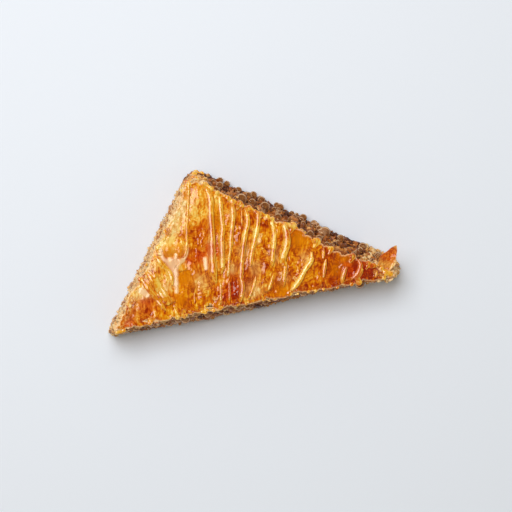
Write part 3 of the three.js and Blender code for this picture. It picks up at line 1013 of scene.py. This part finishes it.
def crown_sheet():
    low, high = RIM.min(0) - 1, RIM.max(0) + 1
    counts = np.round((high - low) / CROWN_CELL).astype(int).tolist()
    bm, column, row = band(*counts)
    flat = low + np.column_stack([column, row]) * (high - low)
    inside = inside_outline(flat, RIM)
    bmesh.ops.delete(bm, geom=[v for v, keep in zip(bm.verts, inside) if not keep], context="VERTS")
    flat = flat[inside]
    border = np.flatnonzero([v.is_boundary for v in bm.verts])
    nearest = [rim_tree.find((x, y, 0))[1] for x, y in flat[border].tolist()]
    flat[border] = RIM[nearest]
    lip = LIP_HEIGHT * np.exp(-(((distance_to_edge(flat) - 0.8) / 0.6) ** 2))
    place(bm, np.column_stack([flat, crown_surface(flat) + lip]))
    bmesh.ops.recalc_face_normals(bm, faces=bm.faces)
    skirt = bmesh.ops.extrude_edge_only(bm, edges=[e for e in bm.edges if e.is_boundary])
    hem = [g for g in skirt["geom"] if isinstance(g, bmesh.types.BMVert)]
    bmesh.ops.translate(bm, verts=hem, vec=(0, 0, -CROWN_THICKNESS * MM))
    bmesh.ops.holes_fill(bm, edges=[e for e in bm.edges if e.is_boundary], sides=0)
    bmesh.ops.recalc_face_normals(bm, faces=bm.faces)
    return to_object("crown_sheet", bm, golden_pastry)


# %% Browned, pale and honeyed places
def paint_golden(obj, tone=0.0, pale=0.0):
    """Writes the values that the golden finish reads on the points of a piece."""
    flat = points_of(obj)[:, :2]
    patchy = 1 + 0.7 * grain(flat, 3.5, 21)
    to_edge = distance_to_edge(flat)
    rim = np.exp(-((to_edge / 0.55) ** 2)) - 0.4 * np.exp(-(((to_edge - 1.4) / 0.6) ** 2))
    glint = glint_share(flat)[0]
    set_values(obj, "browned", np.clip(patches(TOASTED, flat) * patchy, 0, 1) * (1 - glint))
    near_left = np.exp(-np.maximum((flat - CORNERS["left"]) @ -SIDES[2]["outward"], 0) / 4)
    set_values(obj, "pale", np.clip(patches(PALE, flat) * patchy + 0.9 * rim + 0.7 * near_left + pale, 0, 1))
    set_values(obj, "honeyed", np.clip(patches(POOLS, flat), 0, 1) * (1 - glint))
    # Painted highlight on the smooth slopes, and a pale rim line in the same colour, partly the thin edge
    # and partly painted highlight.
    rim_line = 0.6 * np.exp(-((to_edge / 0.65) ** 4)) * np.clip(patchy, 0.5, 1.2)
    set_values(obj, "gleam", np.maximum(0.8 * glint, rim_line))
    broad = 1.6 * (0.41 - flat[:, 0] / LONG_SIDE) + 0.6 * (flat[:, 1] / CORNERS["apex"][1] - 0.3)
    set_values(obj, "tone", tone + broad + 0.3 * np.minimum(rim, 0))


crown = crown_sheet()
paint_golden(crown)
register(crown, "golden_pastry")

# %% [markdown]
# ## Flakes on the crown
#
# Crisp sheets shatter when they are cut. Torn leaves of them lie on the crown and hang
# over its rim, and their edges draw fine lines in the light. A leaf is a small grid with
# a thickness, its square outline pushed out to a ragged round one.

# %% Torn leaves
LEAF_WAVES = [(2, 0.2), (3, 0.12), (5, 0.08), (7, 0.06)]


def leaf_template(cells):
    bm = bmesh.new()
    bmesh.ops.create_grid(bm, x_segments=cells, y_segments=cells, size=1)
    bmesh.ops.solidify(bm, geom=bm.faces[:], thickness=1)
    return template(bm)


def torn_leaves(points, sizes, rng):
    """Flat ragged copies of the leaf template, and how far out in a leaf each point lies."""
    square = points[:, :2]
    out = np.abs(square).max(axis=1)
    turn = np.arctan2(square[:, 1], square[:, 0])
    outline = np.ones((len(sizes), len(points)))
    for waves, share in LEAF_WAVES:
        outline += share * np.sin(waves * turn[None] + rng.uniform(0, 6.3, (len(sizes), 1)))
    away = out[None] * outline * sizes[:, None]
    longer = rng.uniform(0.55, 1.0, (len(sizes), 1))
    flat = np.stack([away * np.cos(turn), away * np.sin(turn) * longer], axis=-1)
    angle = rng.uniform(0, 6.3, len(sizes))
    spin = np.stack([np.cos(angle), -np.sin(angle), np.sin(angle), np.cos(angle)], axis=-1)
    return turned(spin.reshape(-1, 2, 2), flat), out


# %% Leaves on the crown and over its rim
LEAVES_ON_TOP = 24
LEAVES_AT_RIM = (26, 0, 32)  # on the front, the right and the left side
LEAVES_AT_TIPS = 14
LEAVES_AT_LEFT = 4  # so many of these at the left tip, the rest at the right one
LEFT_TIP, RIGHT_TIP = np.array([6.0, 1.6]), np.array([165.0, 1.5])


def crown_leaves():
    rng = np.random.default_rng(61)
    points, faces = leaf_template(8)
    upper = points[:, 2] > points[:, 2].mean()
    front = CORNERS["left"] + np.outer(rng.random(LEAVES_ON_TOP), CORNERS["right"])
    on_top = mix(front, CORNERS["apex"], (0.8 * rng.random(LEAVES_ON_TOP) ** 1.3)[:, None])
    at_rim = spread_round(rng, LEAVES_AT_RIM)
    rim = off_wall(at_rim, CROWN_Z, -rng.uniform(1.0, 3.0, len(at_rim)))[:, :2]
    tips = RIGHT_TIP + rng.normal(size=(LEAVES_AT_TIPS, 2)) * [2.6, 1.4]
    tips[:LEAVES_AT_LEFT] = LEFT_TIP + rng.normal(size=(LEAVES_AT_LEFT, 2)) * [1.6, 0.6]
    top_sizes = rng.uniform(1.5, 4, LEAVES_ON_TOP)
    top_sizes = np.minimum(top_sizes, np.maximum(distance_to_rim(on_top) - 1, 0.8))
    rim_sizes = rng.uniform(0.9, 2.4, len(rim))
    sizes = np.concatenate([top_sizes, rim_sizes, rng.uniform(0.9, 2, LEAVES_AT_TIPS)])
    flat, out = torn_leaves(points, sizes, rng)
    flat = flat + np.vstack([on_top, rim, tips])[:, None]
    every_point = flat.reshape(-1, 2)
    ground = crown_surface(every_point).reshape(flat.shape[:2])
    curl = rng.uniform(0.0, 0.5, (len(sizes), 1)) * out[None] ** 3
    sag = 1.6 * np.maximum(-distance_to_rim(every_point), 0).reshape(flat.shape[:2])
    z = ground + 0.05 + curl - sag + 0.15 * upper
    obj = scattered("crown_leaves", np.concatenate([flat, z[..., None]], axis=-1), faces, golden_pastry)
    tones = np.repeat(rng.normal(0.1, 0.4, len(sizes)), len(points))
    paint_golden(obj, tones, np.repeat(rng.random(len(sizes)) ** 3 * 0.4, len(points)))
    return obj


register(crown_leaves(), "golden_pastry")

# %% [markdown]
# ## Walnut filling
#
# Behind the visible nuts stands a dark core with a lumpy wall, so that no gap shows. It is
# a band again, closed above and below. In front of it lie chopped pieces, each a small
# ball with its points pushed in and out.

# %% The core of the filling
CORE_BACK = 1.4  # how far the core stays behind the wall


def walnut_core():
    bm, column, row = band(700, 18)
    z = mix(*NUTS_Z, row)
    solid_points = np.column_stack([wall(column, z), z])
    lumps = grain(solid_points, 2.6, 31) + 0.5 * grain(solid_points, 1.1, 32)
    place(bm, off_wall(column, z, 0.9 * lumps - CORE_BACK))
    close_band(bm)
    core = to_object("walnut_core", bm, walnut)
    set_values(core, "tone", np.clip(0.2 + 0.3 * grain(points_of(core), 2, 33), 0, 1))
    return core


register(walnut_core(), "walnut_filling", "nut_filling")

# %% Chopped walnut pieces
NUT_COUNT = 2200
NUT_SIZES = (0.5, 2.2)
PALE_TIP = (158, 164)  # along X, where the nuts turn paler at the dry right corner


def chunk_template():
    bm = bmesh.new()
    bmesh.ops.create_uvsphere(bm, u_segments=7, v_segments=5, radius=1)
    bmesh.ops.triangulate(bm, faces=bm.faces)
    return template(bm)


def lumpy_balls(points, centres, sizes, rng, roughness=0.28):
    """Copies of a ball as irregular chunks: stretched, dented and turned."""
    count = len(sizes)
    dents = 1 + roughness * rng.uniform(-1, 1, (count, len(points), 1))
    shapes = points[None] * rng.uniform(0.65, 1.25, (count, 1, 3)) * dents * sizes[:, None, None]
    return turned(random_turns(rng, count), shapes) + centres[:, None]


def chopped_walnuts():
    rng = np.random.default_rng(17)
    points, faces = chunk_template()
    sizes = mix(*NUT_SIZES, rng.random(NUT_COUNT) ** 2.4)
    t = rng.random(NUT_COUNT)
    z = mix(NUTS_Z[0] + 0.5 * sizes, NUTS_Z[1] - 0.5 * sizes, rng.random(NUT_COUNT))
    depth = rng.uniform(0.0, 0.9, NUT_COUNT) * sizes + 0.2
    centres = off_wall(t, z, -depth)
    copies = lumpy_balls(points, centres, sizes, rng, 0.22)
    soaked = soaked_through(centres)
    tones = rng.normal(0.55, 0.24, NUT_COUNT) - 0.12 * soaked + 0.5 * np.maximum(-soaked, 0)
    tones += 0.35 * rise(centres[:, 0], *PALE_TIP)
    return scattered("walnut_pieces", copies, faces, walnut, np.clip(tones, 0, 1))


register(chopped_walnuts(), "walnut_filling")

# %% [markdown]
# Thin sheets of pastry run between the nuts, so the filling looks layered where it is cut.

# %% Sheets inside the filling
filling_sheets = stack(
    "filling_sheets",
    [11.0, 14.0, 17.2],
    thickness=0.4,
    raggedness=1.0,
    lift=0.5,
    finish=inner_edge,
    seed=9,
)
register(filling_sheets, "walnut_filling")

# %% [markdown]
# ## Crumbs and splinters
#
# The knife leaves broken pastry on all three sides, most of it on the left, where pale
# dry splinters hide the nuts. Splinters are small leaves stuck out of the wall, and
# crumbs are small chunks on it.

# %% Splinters and crumbs on the sides
LEAF_THICKNESS = 0.28


def tilted_leaves(sizes, curl, looseness, rng):
    """Small torn leaves, each curled and tilted in its own way, and their faces."""
    points, faces = leaf_template(4)
    flat, out = torn_leaves(points, sizes, rng)
    height = curl * rng.normal(size=(len(sizes), 1)) * out[None] ** 2
    height = height + LEAF_THICKNESS / 2 * np.sign(points[:, 2] - points[:, 2].mean())
    leaves = np.concatenate([flat, height[..., None]], axis=-1)
    return turned(random_turns(rng, len(sizes), 1, looseness), leaves), faces


def splinters():
    rng = np.random.default_rng(71)
    t = spread_round(rng, (210, 170, 520))
    total = len(t)
    on_left = t > MARKS[4]
    z = np.where(on_left, rng.uniform(2, CROWN_Z - 1, total), rng.uniform(1, CROWN_Z - 1, total))
    leaves, faces = tilted_leaves(rng.uniform(0.5, 1.9, total), 0.35, 0.45, rng)
    centres = off_wall(t, z, rng.uniform(-0.7, 0.35, total))
    copies = leaves + centres[:, None]
    copies[..., 2] = np.maximum(copies[..., 2], 0.05)
    tones = 0.75 * (z / CROWN_Z) + 0.35 - 0.8 * soaked_through(centres) + rng.normal(0, 0.25, total)
    return scattered("splinters", copies, faces, crisp_edge, np.clip(tones, -0.5, 1))


def crumbs():
    rng = np.random.default_rng(83)
    points, faces = chunk_template()
    t = spread_round(rng, (260, 240, 560))
    total = len(t)
    z = rng.uniform(1.2, CROWN_Z - 1.5, total)
    sizes = rng.uniform(0.25, 0.85, total)
    centres = off_wall(t, z, rng.uniform(-0.4, 0.5, total))
    copies = lumpy_balls(points, centres, sizes, rng)
    tones = 0.9 - 1.1 * soaked_through(centres) + rng.normal(0, 0.35, total)
    return scattered("crumbs", copies, faces, crisp_edge, np.clip(tones, -0.6, 1.2))


register(splinters(), "golden_pastry")
register(crumbs(), "golden_pastry")

# %% Flakes at the corners
FLAKE_STRETCHES = [
    (MARKS[1] - 0.02, MARKS[2] + 0.045, 200),  # wide round the right corner
    (MARKS[5] - 0.02, 1.01, 90),  # round the left one
    (MARKS[3] - 0.004, MARKS[4] + 0.012, 90),  # round the apex
    (MARKS[1] - 0.005, MARKS[2] + 0.005, 90),  # heaped at the tip of the right corner
]
HEAPED = 90
HIGH_UP = 180  # the last two stretches lie near the crown


def corner_flakes():
    """Broken bits of sheet round the left corner and the apex, and heaped at the right one."""
    rng = np.random.default_rng(91)
    t = np.concatenate([rng.uniform(*stretch) for stretch in FLAKE_STRETCHES])
    total = len(t)
    z = rng.uniform(2.5, CROWN_Z - 3.5, total)
    z[-HIGH_UP:] = rng.uniform(12, CROWN_Z - 2, HIGH_UP)
    leaves, faces = tilted_leaves(rng.uniform(0.6, 1.8, total), 0.3, 0.3, rng)
    out = rng.uniform(-0.5, 0.5, total)
    out[-HEAPED:] += rng.uniform(0, 1, HEAPED) * (z[-HEAPED:] - 10) / 11
    copies = leaves + off_wall(t, z, out)[:, None]
    return scattered("corner_flakes", copies, faces, crisp_edge, rng.uniform(0.5, 1.3, total))


register(corner_flakes(), "golden_pastry")

# %% [markdown]
# ## Honey
#
# Honey runs in ropes over the crown, over the rim and down the sides in drops. Each pass
# of the spoon is written as the places it went through and a radius. It becomes a chain of
# overlapping balls. A voxel remesh melts the chains into one skin, and smoothing lets it
# flow.

# %% Where the honey runs
DRIZZLE = [
    ([(62.5, 76.5), (59, 62.5), (55.5, 49.5), (53, 38), (50.5, 33.5)], 1.0),
    ([(71.5, 69.5), (72, 63), (70.5, 54), (69, 43), (67, 33), (65.5, 22.5), (65.5, 16)], 2.4),
    ([(78, 63.5), (77, 56), (76, 46), (74, 39), (72, 27), (70, 20)], 1.8),
    ([(84.5, 58.5), (83, 50), (80, 40.5), (78, 32.5)], 1.8),
    ([(78, 32.5), (76, 26.5), (73.5, 17.5)], 1.2),
    ([(91.5, 53.5), (91, 46), (88, 39), (85, 30.5), (83, 24.5), (80.5, 15)], 1.8),
    ([(80.5, 15), (80.5, 9.5), (77.5, 1.5)], 1.4),
    ([(98, 49.5), (96.5, 43.5), (93, 35), (89, 26), (87.5, 21)], 1.8),
    ([(89.5, 14), (86.5, 8), (82.5, 2)], 1.1),
    ([(105.3, 42.5), (105, 37), (103, 28.5), (101.5, 24.5), (100, 18.5)], 1.7),
    ([(99.5, 12.5), (97, 8), (95, 4.5)], 1.1),
    ([(111.5, 39.5), (112, 36), (111.5, 31.5), (109.5, 26.5), (107, 22), (106.5, 17.5)], 2.6),
    ([(108.5, 18), (106, 12), (104, 5)], 1.3),
    ([(124, 20.5), (122.5, 16), (117.5, 11), (113.5, 6), (108.5, 2)], 1.9),
    ([(131.5, 21.5), (130, 16)], 1.2),
    ([(131.5, 15), (129.5, 10), (128, 5.5)], 1.3),
    ([(142, 8), (139.5, 4), (138, 0)], 1.6),
    ([(150, 11), (150.5, 7.5), (148, 3.5), (144, 1)], 1.4),
    ([(23.5, 26), (28.5, 15), (33.5, 5.5)], 1.6),
    ([(27.5, 29), (29.5, 24), (32.5, 16.5), (36, 8.5)], 1.8),
    ([(31, 29), (33.5, 20), (38, 9)], 1.4),
    ([(34.5, 36.5), (37.5, 31.5), (40.5, 26), (40.5, 19.5)], 1.7),
]
THIN_RUNS = [
    ([(68.5, 14.5), (66, 3)], 0.9),
    ([(73.5, 14), (71.5, 3.5)], 0.9),
    ([(89.5, 55), (87.5, 44.5)], 0.7),
    ([(151.5, 5), (149, 2), (146, 0)], 1.0),
    ([(159.5, 2.5), (158, -1)], 0.9),
    ([(17, 16), (18, 12)], 0.7),
    ([(12.5, 14), (13, 8)], 0.7),
    ([(52.5, 12.5), (51, 5.5)], 0.6),
]
DRIPS = {  # by the number of the side: the share along it, the fall, the radius and the bead's
    1: [
        (0.93, 12, 1.5, 2.1), (0.863, 16, 1.6, 2.4), (0.782, 22, 1.4, 2.1), (0.757, 12, 2.2, 3.5),
        (0.653, 15, 2.0, 3.3), (0.597, 23, 1.4, 2.6), (0.505, 4, 2.3, 2.7), (0.382, 18, 2.5, 3.5),
        (0.313, 19, 1.8, 2.6), (0.215, 19, 2.2, 2.7), (0.138, 17, 1.6, 2.3),
    ],
    0: [
        (0.136, 6, 1.3, 1.9), (0.23, 9, 1.7, 2.3), (0.255, 11, 2.0, 3.2), (0.38, 10, 1.4, 2.2),
        (0.439, 12, 1.1, 1.6), (0.53, 12.5, 1.1, 1.6), (0.33, 13, 1.3, 2.0), (0.47, 10, 1.3, 2.0),
        (0.863, 8, 2.2, 3.2),
    ],
}
print(len(DRIZZLE), "ropes,", len(THIN_RUNS), "thin runs and", sum(map(len, DRIPS.values())), "drips")

# %% Ropes and drips
ROPE_FLATNESS = 0.5
ROPE_LEAN = 0.34  # a rope rises towards the light, so that its bright line is on that side
DRIP_STANDS_OUT = 0.5
crown_balls, side_balls = [], []  # each ball's place, radius, flatness and lean


def rope(places, radius):
    """Balls along one pass of the spoon. It thins and thickens as it goes."""
    route, way = run_through(places, 0.3 * radius)
    seed = len(crown_balls)
    swell = 1 + 0.22 * grain(np.column_stack([way, 0 * way]), 6, seed)
    ends = np.clip(np.minimum(way, way[-1] - way) / (2 * radius), 0, 1)
    height = smooth_height(route) + 0.25 + 0.1 * radius
    kept = distance_to_rim(route) > -0.5
    for x, y, z, size in np.column_stack([route, height, radius * swell * mix(0.6, 1, ends)])[kept]:
        crown_balls.append((x, y, z, size, ROPE_FLATNESS, ROPE_LEAN))


def drip(index, share, fall, radius, bead):
    """Honey from the crown over the rim and down a side, to a bead at its end."""
    outward, sideways = SIDES[index]["outward"], SIDES[index]["run"]
    rim_at = side_point(index, share, CROWN_Z)
    for inside in np.linspace(4, 0.2, 10):
        flat = rim_at - outward * inside
        z = crown_surface(flat[None])[0]
        crown_balls.append((*flat, z, radius * mix(1, 0.4, inside / 4), 0.4, 0.2))
    for drop in np.arange(0.6, fall, 0.3 * radius):
        wander = grain(np.array([[drop, 9.0 * share]]), 4, 51)[0]
        flat = side_point(index, share, CROWN_Z - drop) + 1.6 * wander * sideways - 0.5 * outward
        size = radius * (0.45 + 0.4 * math.sin(2.3 * drop / radius) ** 2)
        side_balls.append((*flat, CROWN_Z - drop, size, 1, 0))
    flat = side_point(index, share, CROWN_Z - fall) + outward * DRIP_STANDS_OUT
    side_balls.append((*flat, CROWN_Z - fall, bead, 1, 0))


for places, radius in DRIZZLE + THIN_RUNS:
    rope(places, radius)
for index, drips in DRIPS.items():
    for one in drips:
        drip(index, *one)
print(len(crown_balls), "balls of honey on the crown,", len(side_balls), "on the sides")

# %% [markdown]
# Small beads of honey hang all round the rim, and more of them sit between the nuts.

# %% Beads of honey
SMALLER_FROM = (128, 144)  # along X, the beads shrink towards the right corner


def rim_lobes():
    """Low bulges of honey along the rim, where it gathers before it runs over."""
    rng = np.random.default_rng(53)
    for at in spread_round(rng, (14, 36, 8)):
        size = rng.uniform(1.0, 2.2)
        x, y, _ = off_wall(at, CROWN_Z, rng.uniform(0.9, 1.7) - size)
        crown_balls.append((x, y, CROWN_Z - EDGE_DROOP * 0.8, size, 0.45, 0.15))


def side_beads():
    """Beads of honey all down the sides, and a row of large ones low on the right."""
    rng = np.random.default_rng(47)
    for at in spread_round(rng, (44, 70, 16)):
        size = mix(0.9, 2.4, rng.random() ** 1.3)
        z = CROWN_Z - EDGE_DROOP - 1.5 - 20 * rng.random()
        point = off_wall(at, z, rng.uniform(-0.4, 0.5))
        size *= mix(1, 0.5, rise(point[0], *SMALLER_FROM))
        side_balls.append((*point, size, 1, 0))
    for at in rng.uniform(MARKS[2] + 0.12, MARKS[3], 14):
        size, z = rng.uniform(1.4, 2.6), rng.uniform(4, 9)
        side_balls.append((*off_wall(at, z, rng.uniform(0.2, 1.2)), size, 1, 0))


def apex_beads():
    rng = np.random.default_rng(59)
    for at in rng.uniform(MARKS[4] - 0.028, MARKS[4] + 0.006, 12):
        size, z = rng.uniform(1.3, 2.2), rng.uniform(18, 26)
        crown_balls.append((*off_wall(at, z, 0.2), size, 0.9, 0))


rim_lobes()
side_beads()
apex_beads()
print("with the beads:", len(crown_balls), "and", len(side_balls), "balls")

# %% The honey flows together
def flowing_honey(name, balls, voxel, subdivisions):
    balls = np.array(balls)
    bm = bmesh.new()
    bmesh.ops.create_icosphere(bm, subdivisions=subdivisions, radius=1)
    points, faces = template(bm)
    stretch = np.column_stack([balls[:, 3], balls[:, 3], balls[:, 3] * balls[:, 4]])
    copies = points[None] * stretch[:, None]
    copies[..., 2] -= balls[:, 5:] * (copies[..., :2] @ LIGHT_FROM)
    copies += balls[:, None, :3]
    obj = scattered(name, copies, faces, honey)
    melt = obj.modifiers.new("melt", "REMESH")
    melt.mode, melt.voxel_size, melt.use_smooth_shade = "VOXEL", voxel * MM, True
    relax = obj.modifiers.new("relax", "SMOOTH")
    relax.factor, relax.iterations = 0.5, 5
    evaluated = obj.evaluated_get(bpy.context.evaluated_depsgraph_get())
    flowed = bpy.data.meshes.new_from_object(evaluated)
    obj.modifiers.clear()
    obj.data = flowed
    paint_honey(obj)
    register(obj, "honey")


def paint_honey(obj):
    """Writes what the honey finish reads: where it is clear, steep, milky, browned or lit through."""
    points = points_of(obj)
    normals = np.array([normal.vector for normal in obj.data.vertex_normals])
    below_rim = ease(CROWN_Z - EDGE_DROOP - 1.2 - points[:, 2])
    clear = below_rim * rise(from_apex(points), 8, 14)
    steep = 0.5 - 0.5 * normals[:, 2] + 0.05 * clear * (grain(points, 1.1, 73) - 0.1)
    soaked = np.where(nearest_side(points) == 1, 1, soaked_through(points))
    milky = 1.8 * grain(points, 5, 71) + 1.3 * (0.65 - soaked)
    set_values(obj, "clear", clear)
    set_values(obj, "steep", np.clip(steep, 0, 1))
    set_values(obj, "milky", ease(milky / 0.6))
    set_values(obj, "browned", np.clip(patches(TOASTED, points[:, :2]), 0, 1))
    # The side that faces away from the light, where the honey finish paints its glow and shade.
    set_values(obj, "lit_through", rise(-(normals[:, :2] @ LIGHT_FROM), 0.15, 0.55))


flowing_honey("honey_drizzle", crown_balls, 0.32, 2)
flowing_honey("honey_drops", side_balls, 0.36, 3)

# %% [markdown]
# ## The curled flake
#
# At the right corner a flake of the uppermost sheet has curled up and points away from
# the piece. It is a small grid, narrowed to a point and bent upwards, with a thickness.

# %% The flake at the right corner
FLAKE_ROOT, FLAKE_TIP = np.array([160.5, -0.5]), np.array([173.6, 14.8])
FLAKE_WIDTH, FLAKE_RISE, FLAKE_DEPTH, FLAKE_THICKNESS = 9.5, 4.5, 3.2, 0.45


def curled_flake():
    bm, column, row = band(44, 28)
    run = FLAKE_TIP - FLAKE_ROOT
    length = np.linalg.norm(run)
    run = run / length
    aside = np.array([-run[1], run[0]])
    half_width = FLAKE_WIDTH * (0.3 * (1 - column) ** 2 + 1.65 * column * (1 - column))
    half_width = half_width * (1 + 0.1 * np.sin(15 * column)) + 0.05
    across = (row - 0.5) * 2 * half_width
    flat = FLAKE_ROOT + np.outer(column * length, run) + np.outer(across, aside)
    crumple = 0.5 * grain(flat, 3.5, 41) + 0.35 * grain(flat, 1.4, 42)
    bend = FLAKE_RISE * column**2 + 0.05 * across**2
    z = CROWN_Z - FLAKE_DEPTH + bend + crumple * ease(3 * column)
    place(bm, np.column_stack([flat, z]))
    bmesh.ops.recalc_face_normals(bm, faces=bm.faces)
    bmesh.ops.solidify(bm, geom=bm.faces[:], thickness=FLAKE_THICKNESS * MM)
    bmesh.ops.recalc_face_normals(bm, faces=bm.faces)
    obj = to_object("curled_flake", bm, golden_pastry)
    from_root = points_of(obj)[:, :2] - FLAKE_ROOT
    lengthways, sideways = from_root @ run / length, from_root @ aside
    pale_edge = 0.8 * rise(lengthways, 0.86, 1) + 0.7 * rise(-sideways, 2.8, 4.2)
    at_root = 1 - rise(lengthways, 0.34, 0.54)
    set_values(obj, "browned", np.clip(0.8 - pale_edge - 0.7 * at_root, 0, 1))
    set_values(obj, "pale", np.clip(pale_edge + 0.25 * at_root, 0, 1))
    for name in ("honeyed", "gleam", "tone"):
        set_values(obj, name, np.zeros(len(from_root)))
    return obj


register(curled_flake(), "golden_pastry")

# %% [markdown]
# ## Floor, light and camera
#
# The piece lies on a plain pale floor. Highlights and shadows are made by two lights, so
# that each can be set alone. A tall warm panel from the upper left makes only highlights:
# it draws the thin bright lines on the honey. A soft light from almost overhead lights the
# surfaces and casts the soft shadow, and isn't mirrored. A sky that is brighter near the
# horizon fills in without veiling the surfaces that face up. The camera looks straight
# down and is turned, so that the long cut side rises to the right.

# %% Floor
bm = bmesh.new()
bmesh.ops.create_grid(bm, x_segments=1, y_segments=1, size=3)
floor_finish = finish_named("pale_floor").set(Base_Color=rgb(238, 244, 254), Roughness=0.8)
to_object("floor", bm, floor_finish)

# %% Camera
PICTURE_WIDTH = 299.52 * MM  # what the camera sees from left to right at the crown
CAMERA_LENS = 150
CAMERA_TURN = math.radians(-11.85)
LOOKS_AT = np.array([92.0, 25.5, CROWN_Z])
camera = bpy.data.objects.new("camera", bpy.data.cameras.new("camera"))
camera.data.lens = CAMERA_LENS
distance = PICTURE_WIDTH * CAMERA_LENS / camera.data.sensor_width
camera.location = Vector(to_frame(LOOKS_AT)) + Vector((0, 0, distance))
camera.rotation_euler = (0, 0, CAMERA_TURN)
camera.data.clip_end = 10
bpy.context.scene.collection.objects.link(camera)
bpy.context.scene.camera = camera
print("the camera is", round(distance, 2), "m above the crown")

# %% Lights
WARM_WHITE, COOL_WHITE = (1.0, 0.94, 0.84), (0.97, 0.98, 1.0)


def softbox(name, way, distance, size, watts, colour):
    """A soft panel that faces the piece. `way` points to it, as the camera sees it."""
    light = bpy.data.objects.new(name, bpy.data.lights.new(name, "AREA"))
    light.data.shape, (light.data.size, light.data.size_y) = "RECTANGLE", size
    light.data.energy, light.data.color = watts, colour
    turn = Matrix.Rotation(CAMERA_TURN, 3, "Z")
    toward = (turn @ Vector(way)).normalized()
    picture_up = turn @ Vector((0, 1, 0))
    upright = (picture_up - toward * picture_up.dot(toward)).normalized()
    facing = Matrix((upright.cross(toward), upright, toward)).transposed().to_4x4()
    light.matrix_world = Matrix.Translation(toward * distance) @ facing
    bpy.context.scene.collection.objects.link(light)
    print(f"{name}: {watts} W at {distance} m")
    return light


glint_panel = softbox("glint_panel", (-0.58, 0.15, 0.80), 1.5, (0.7, 1.2), 16, WARM_WHITE)
glint_panel.visible_diffuse = False
soft_light = softbox("soft_light", (-0.18, 0.30, 0.94), 1.2, (0.8, 0.8), 11.6, COOL_WHITE)
soft_light.visible_glossy = False

# %% Sky
SKY_WARMTH = np.array([1.0, 0.93, 0.76])
SKY_LEVELS = [(0.0, 0.65), (0.35, 0.5), (0.6, 0.34), (0.85, 0.2), (1.0, 0.07)]  # horizon to zenith
world = bpy.data.worlds.new("soft_sky")
bpy.context.scene.world = world
sky = Recipe(world)
direction = sky.node("ShaderNodeTexCoord", output="Generated")
height = sky.node("ShaderNodeSeparateXYZ", {}, {"Vector": direction}, "Z")
sky_colour = sky.ramp(height, [(at, tuple(SKY_WARMTH * level)) for at, level in SKY_LEVELS])
feed(world.node_tree.nodes["Background"].inputs["Color"], sky_colour)
bpy.context.scene.view_settings.view_transform = "Standard"
print("the sky has", len(SKY_LEVELS), "levels of brightness")
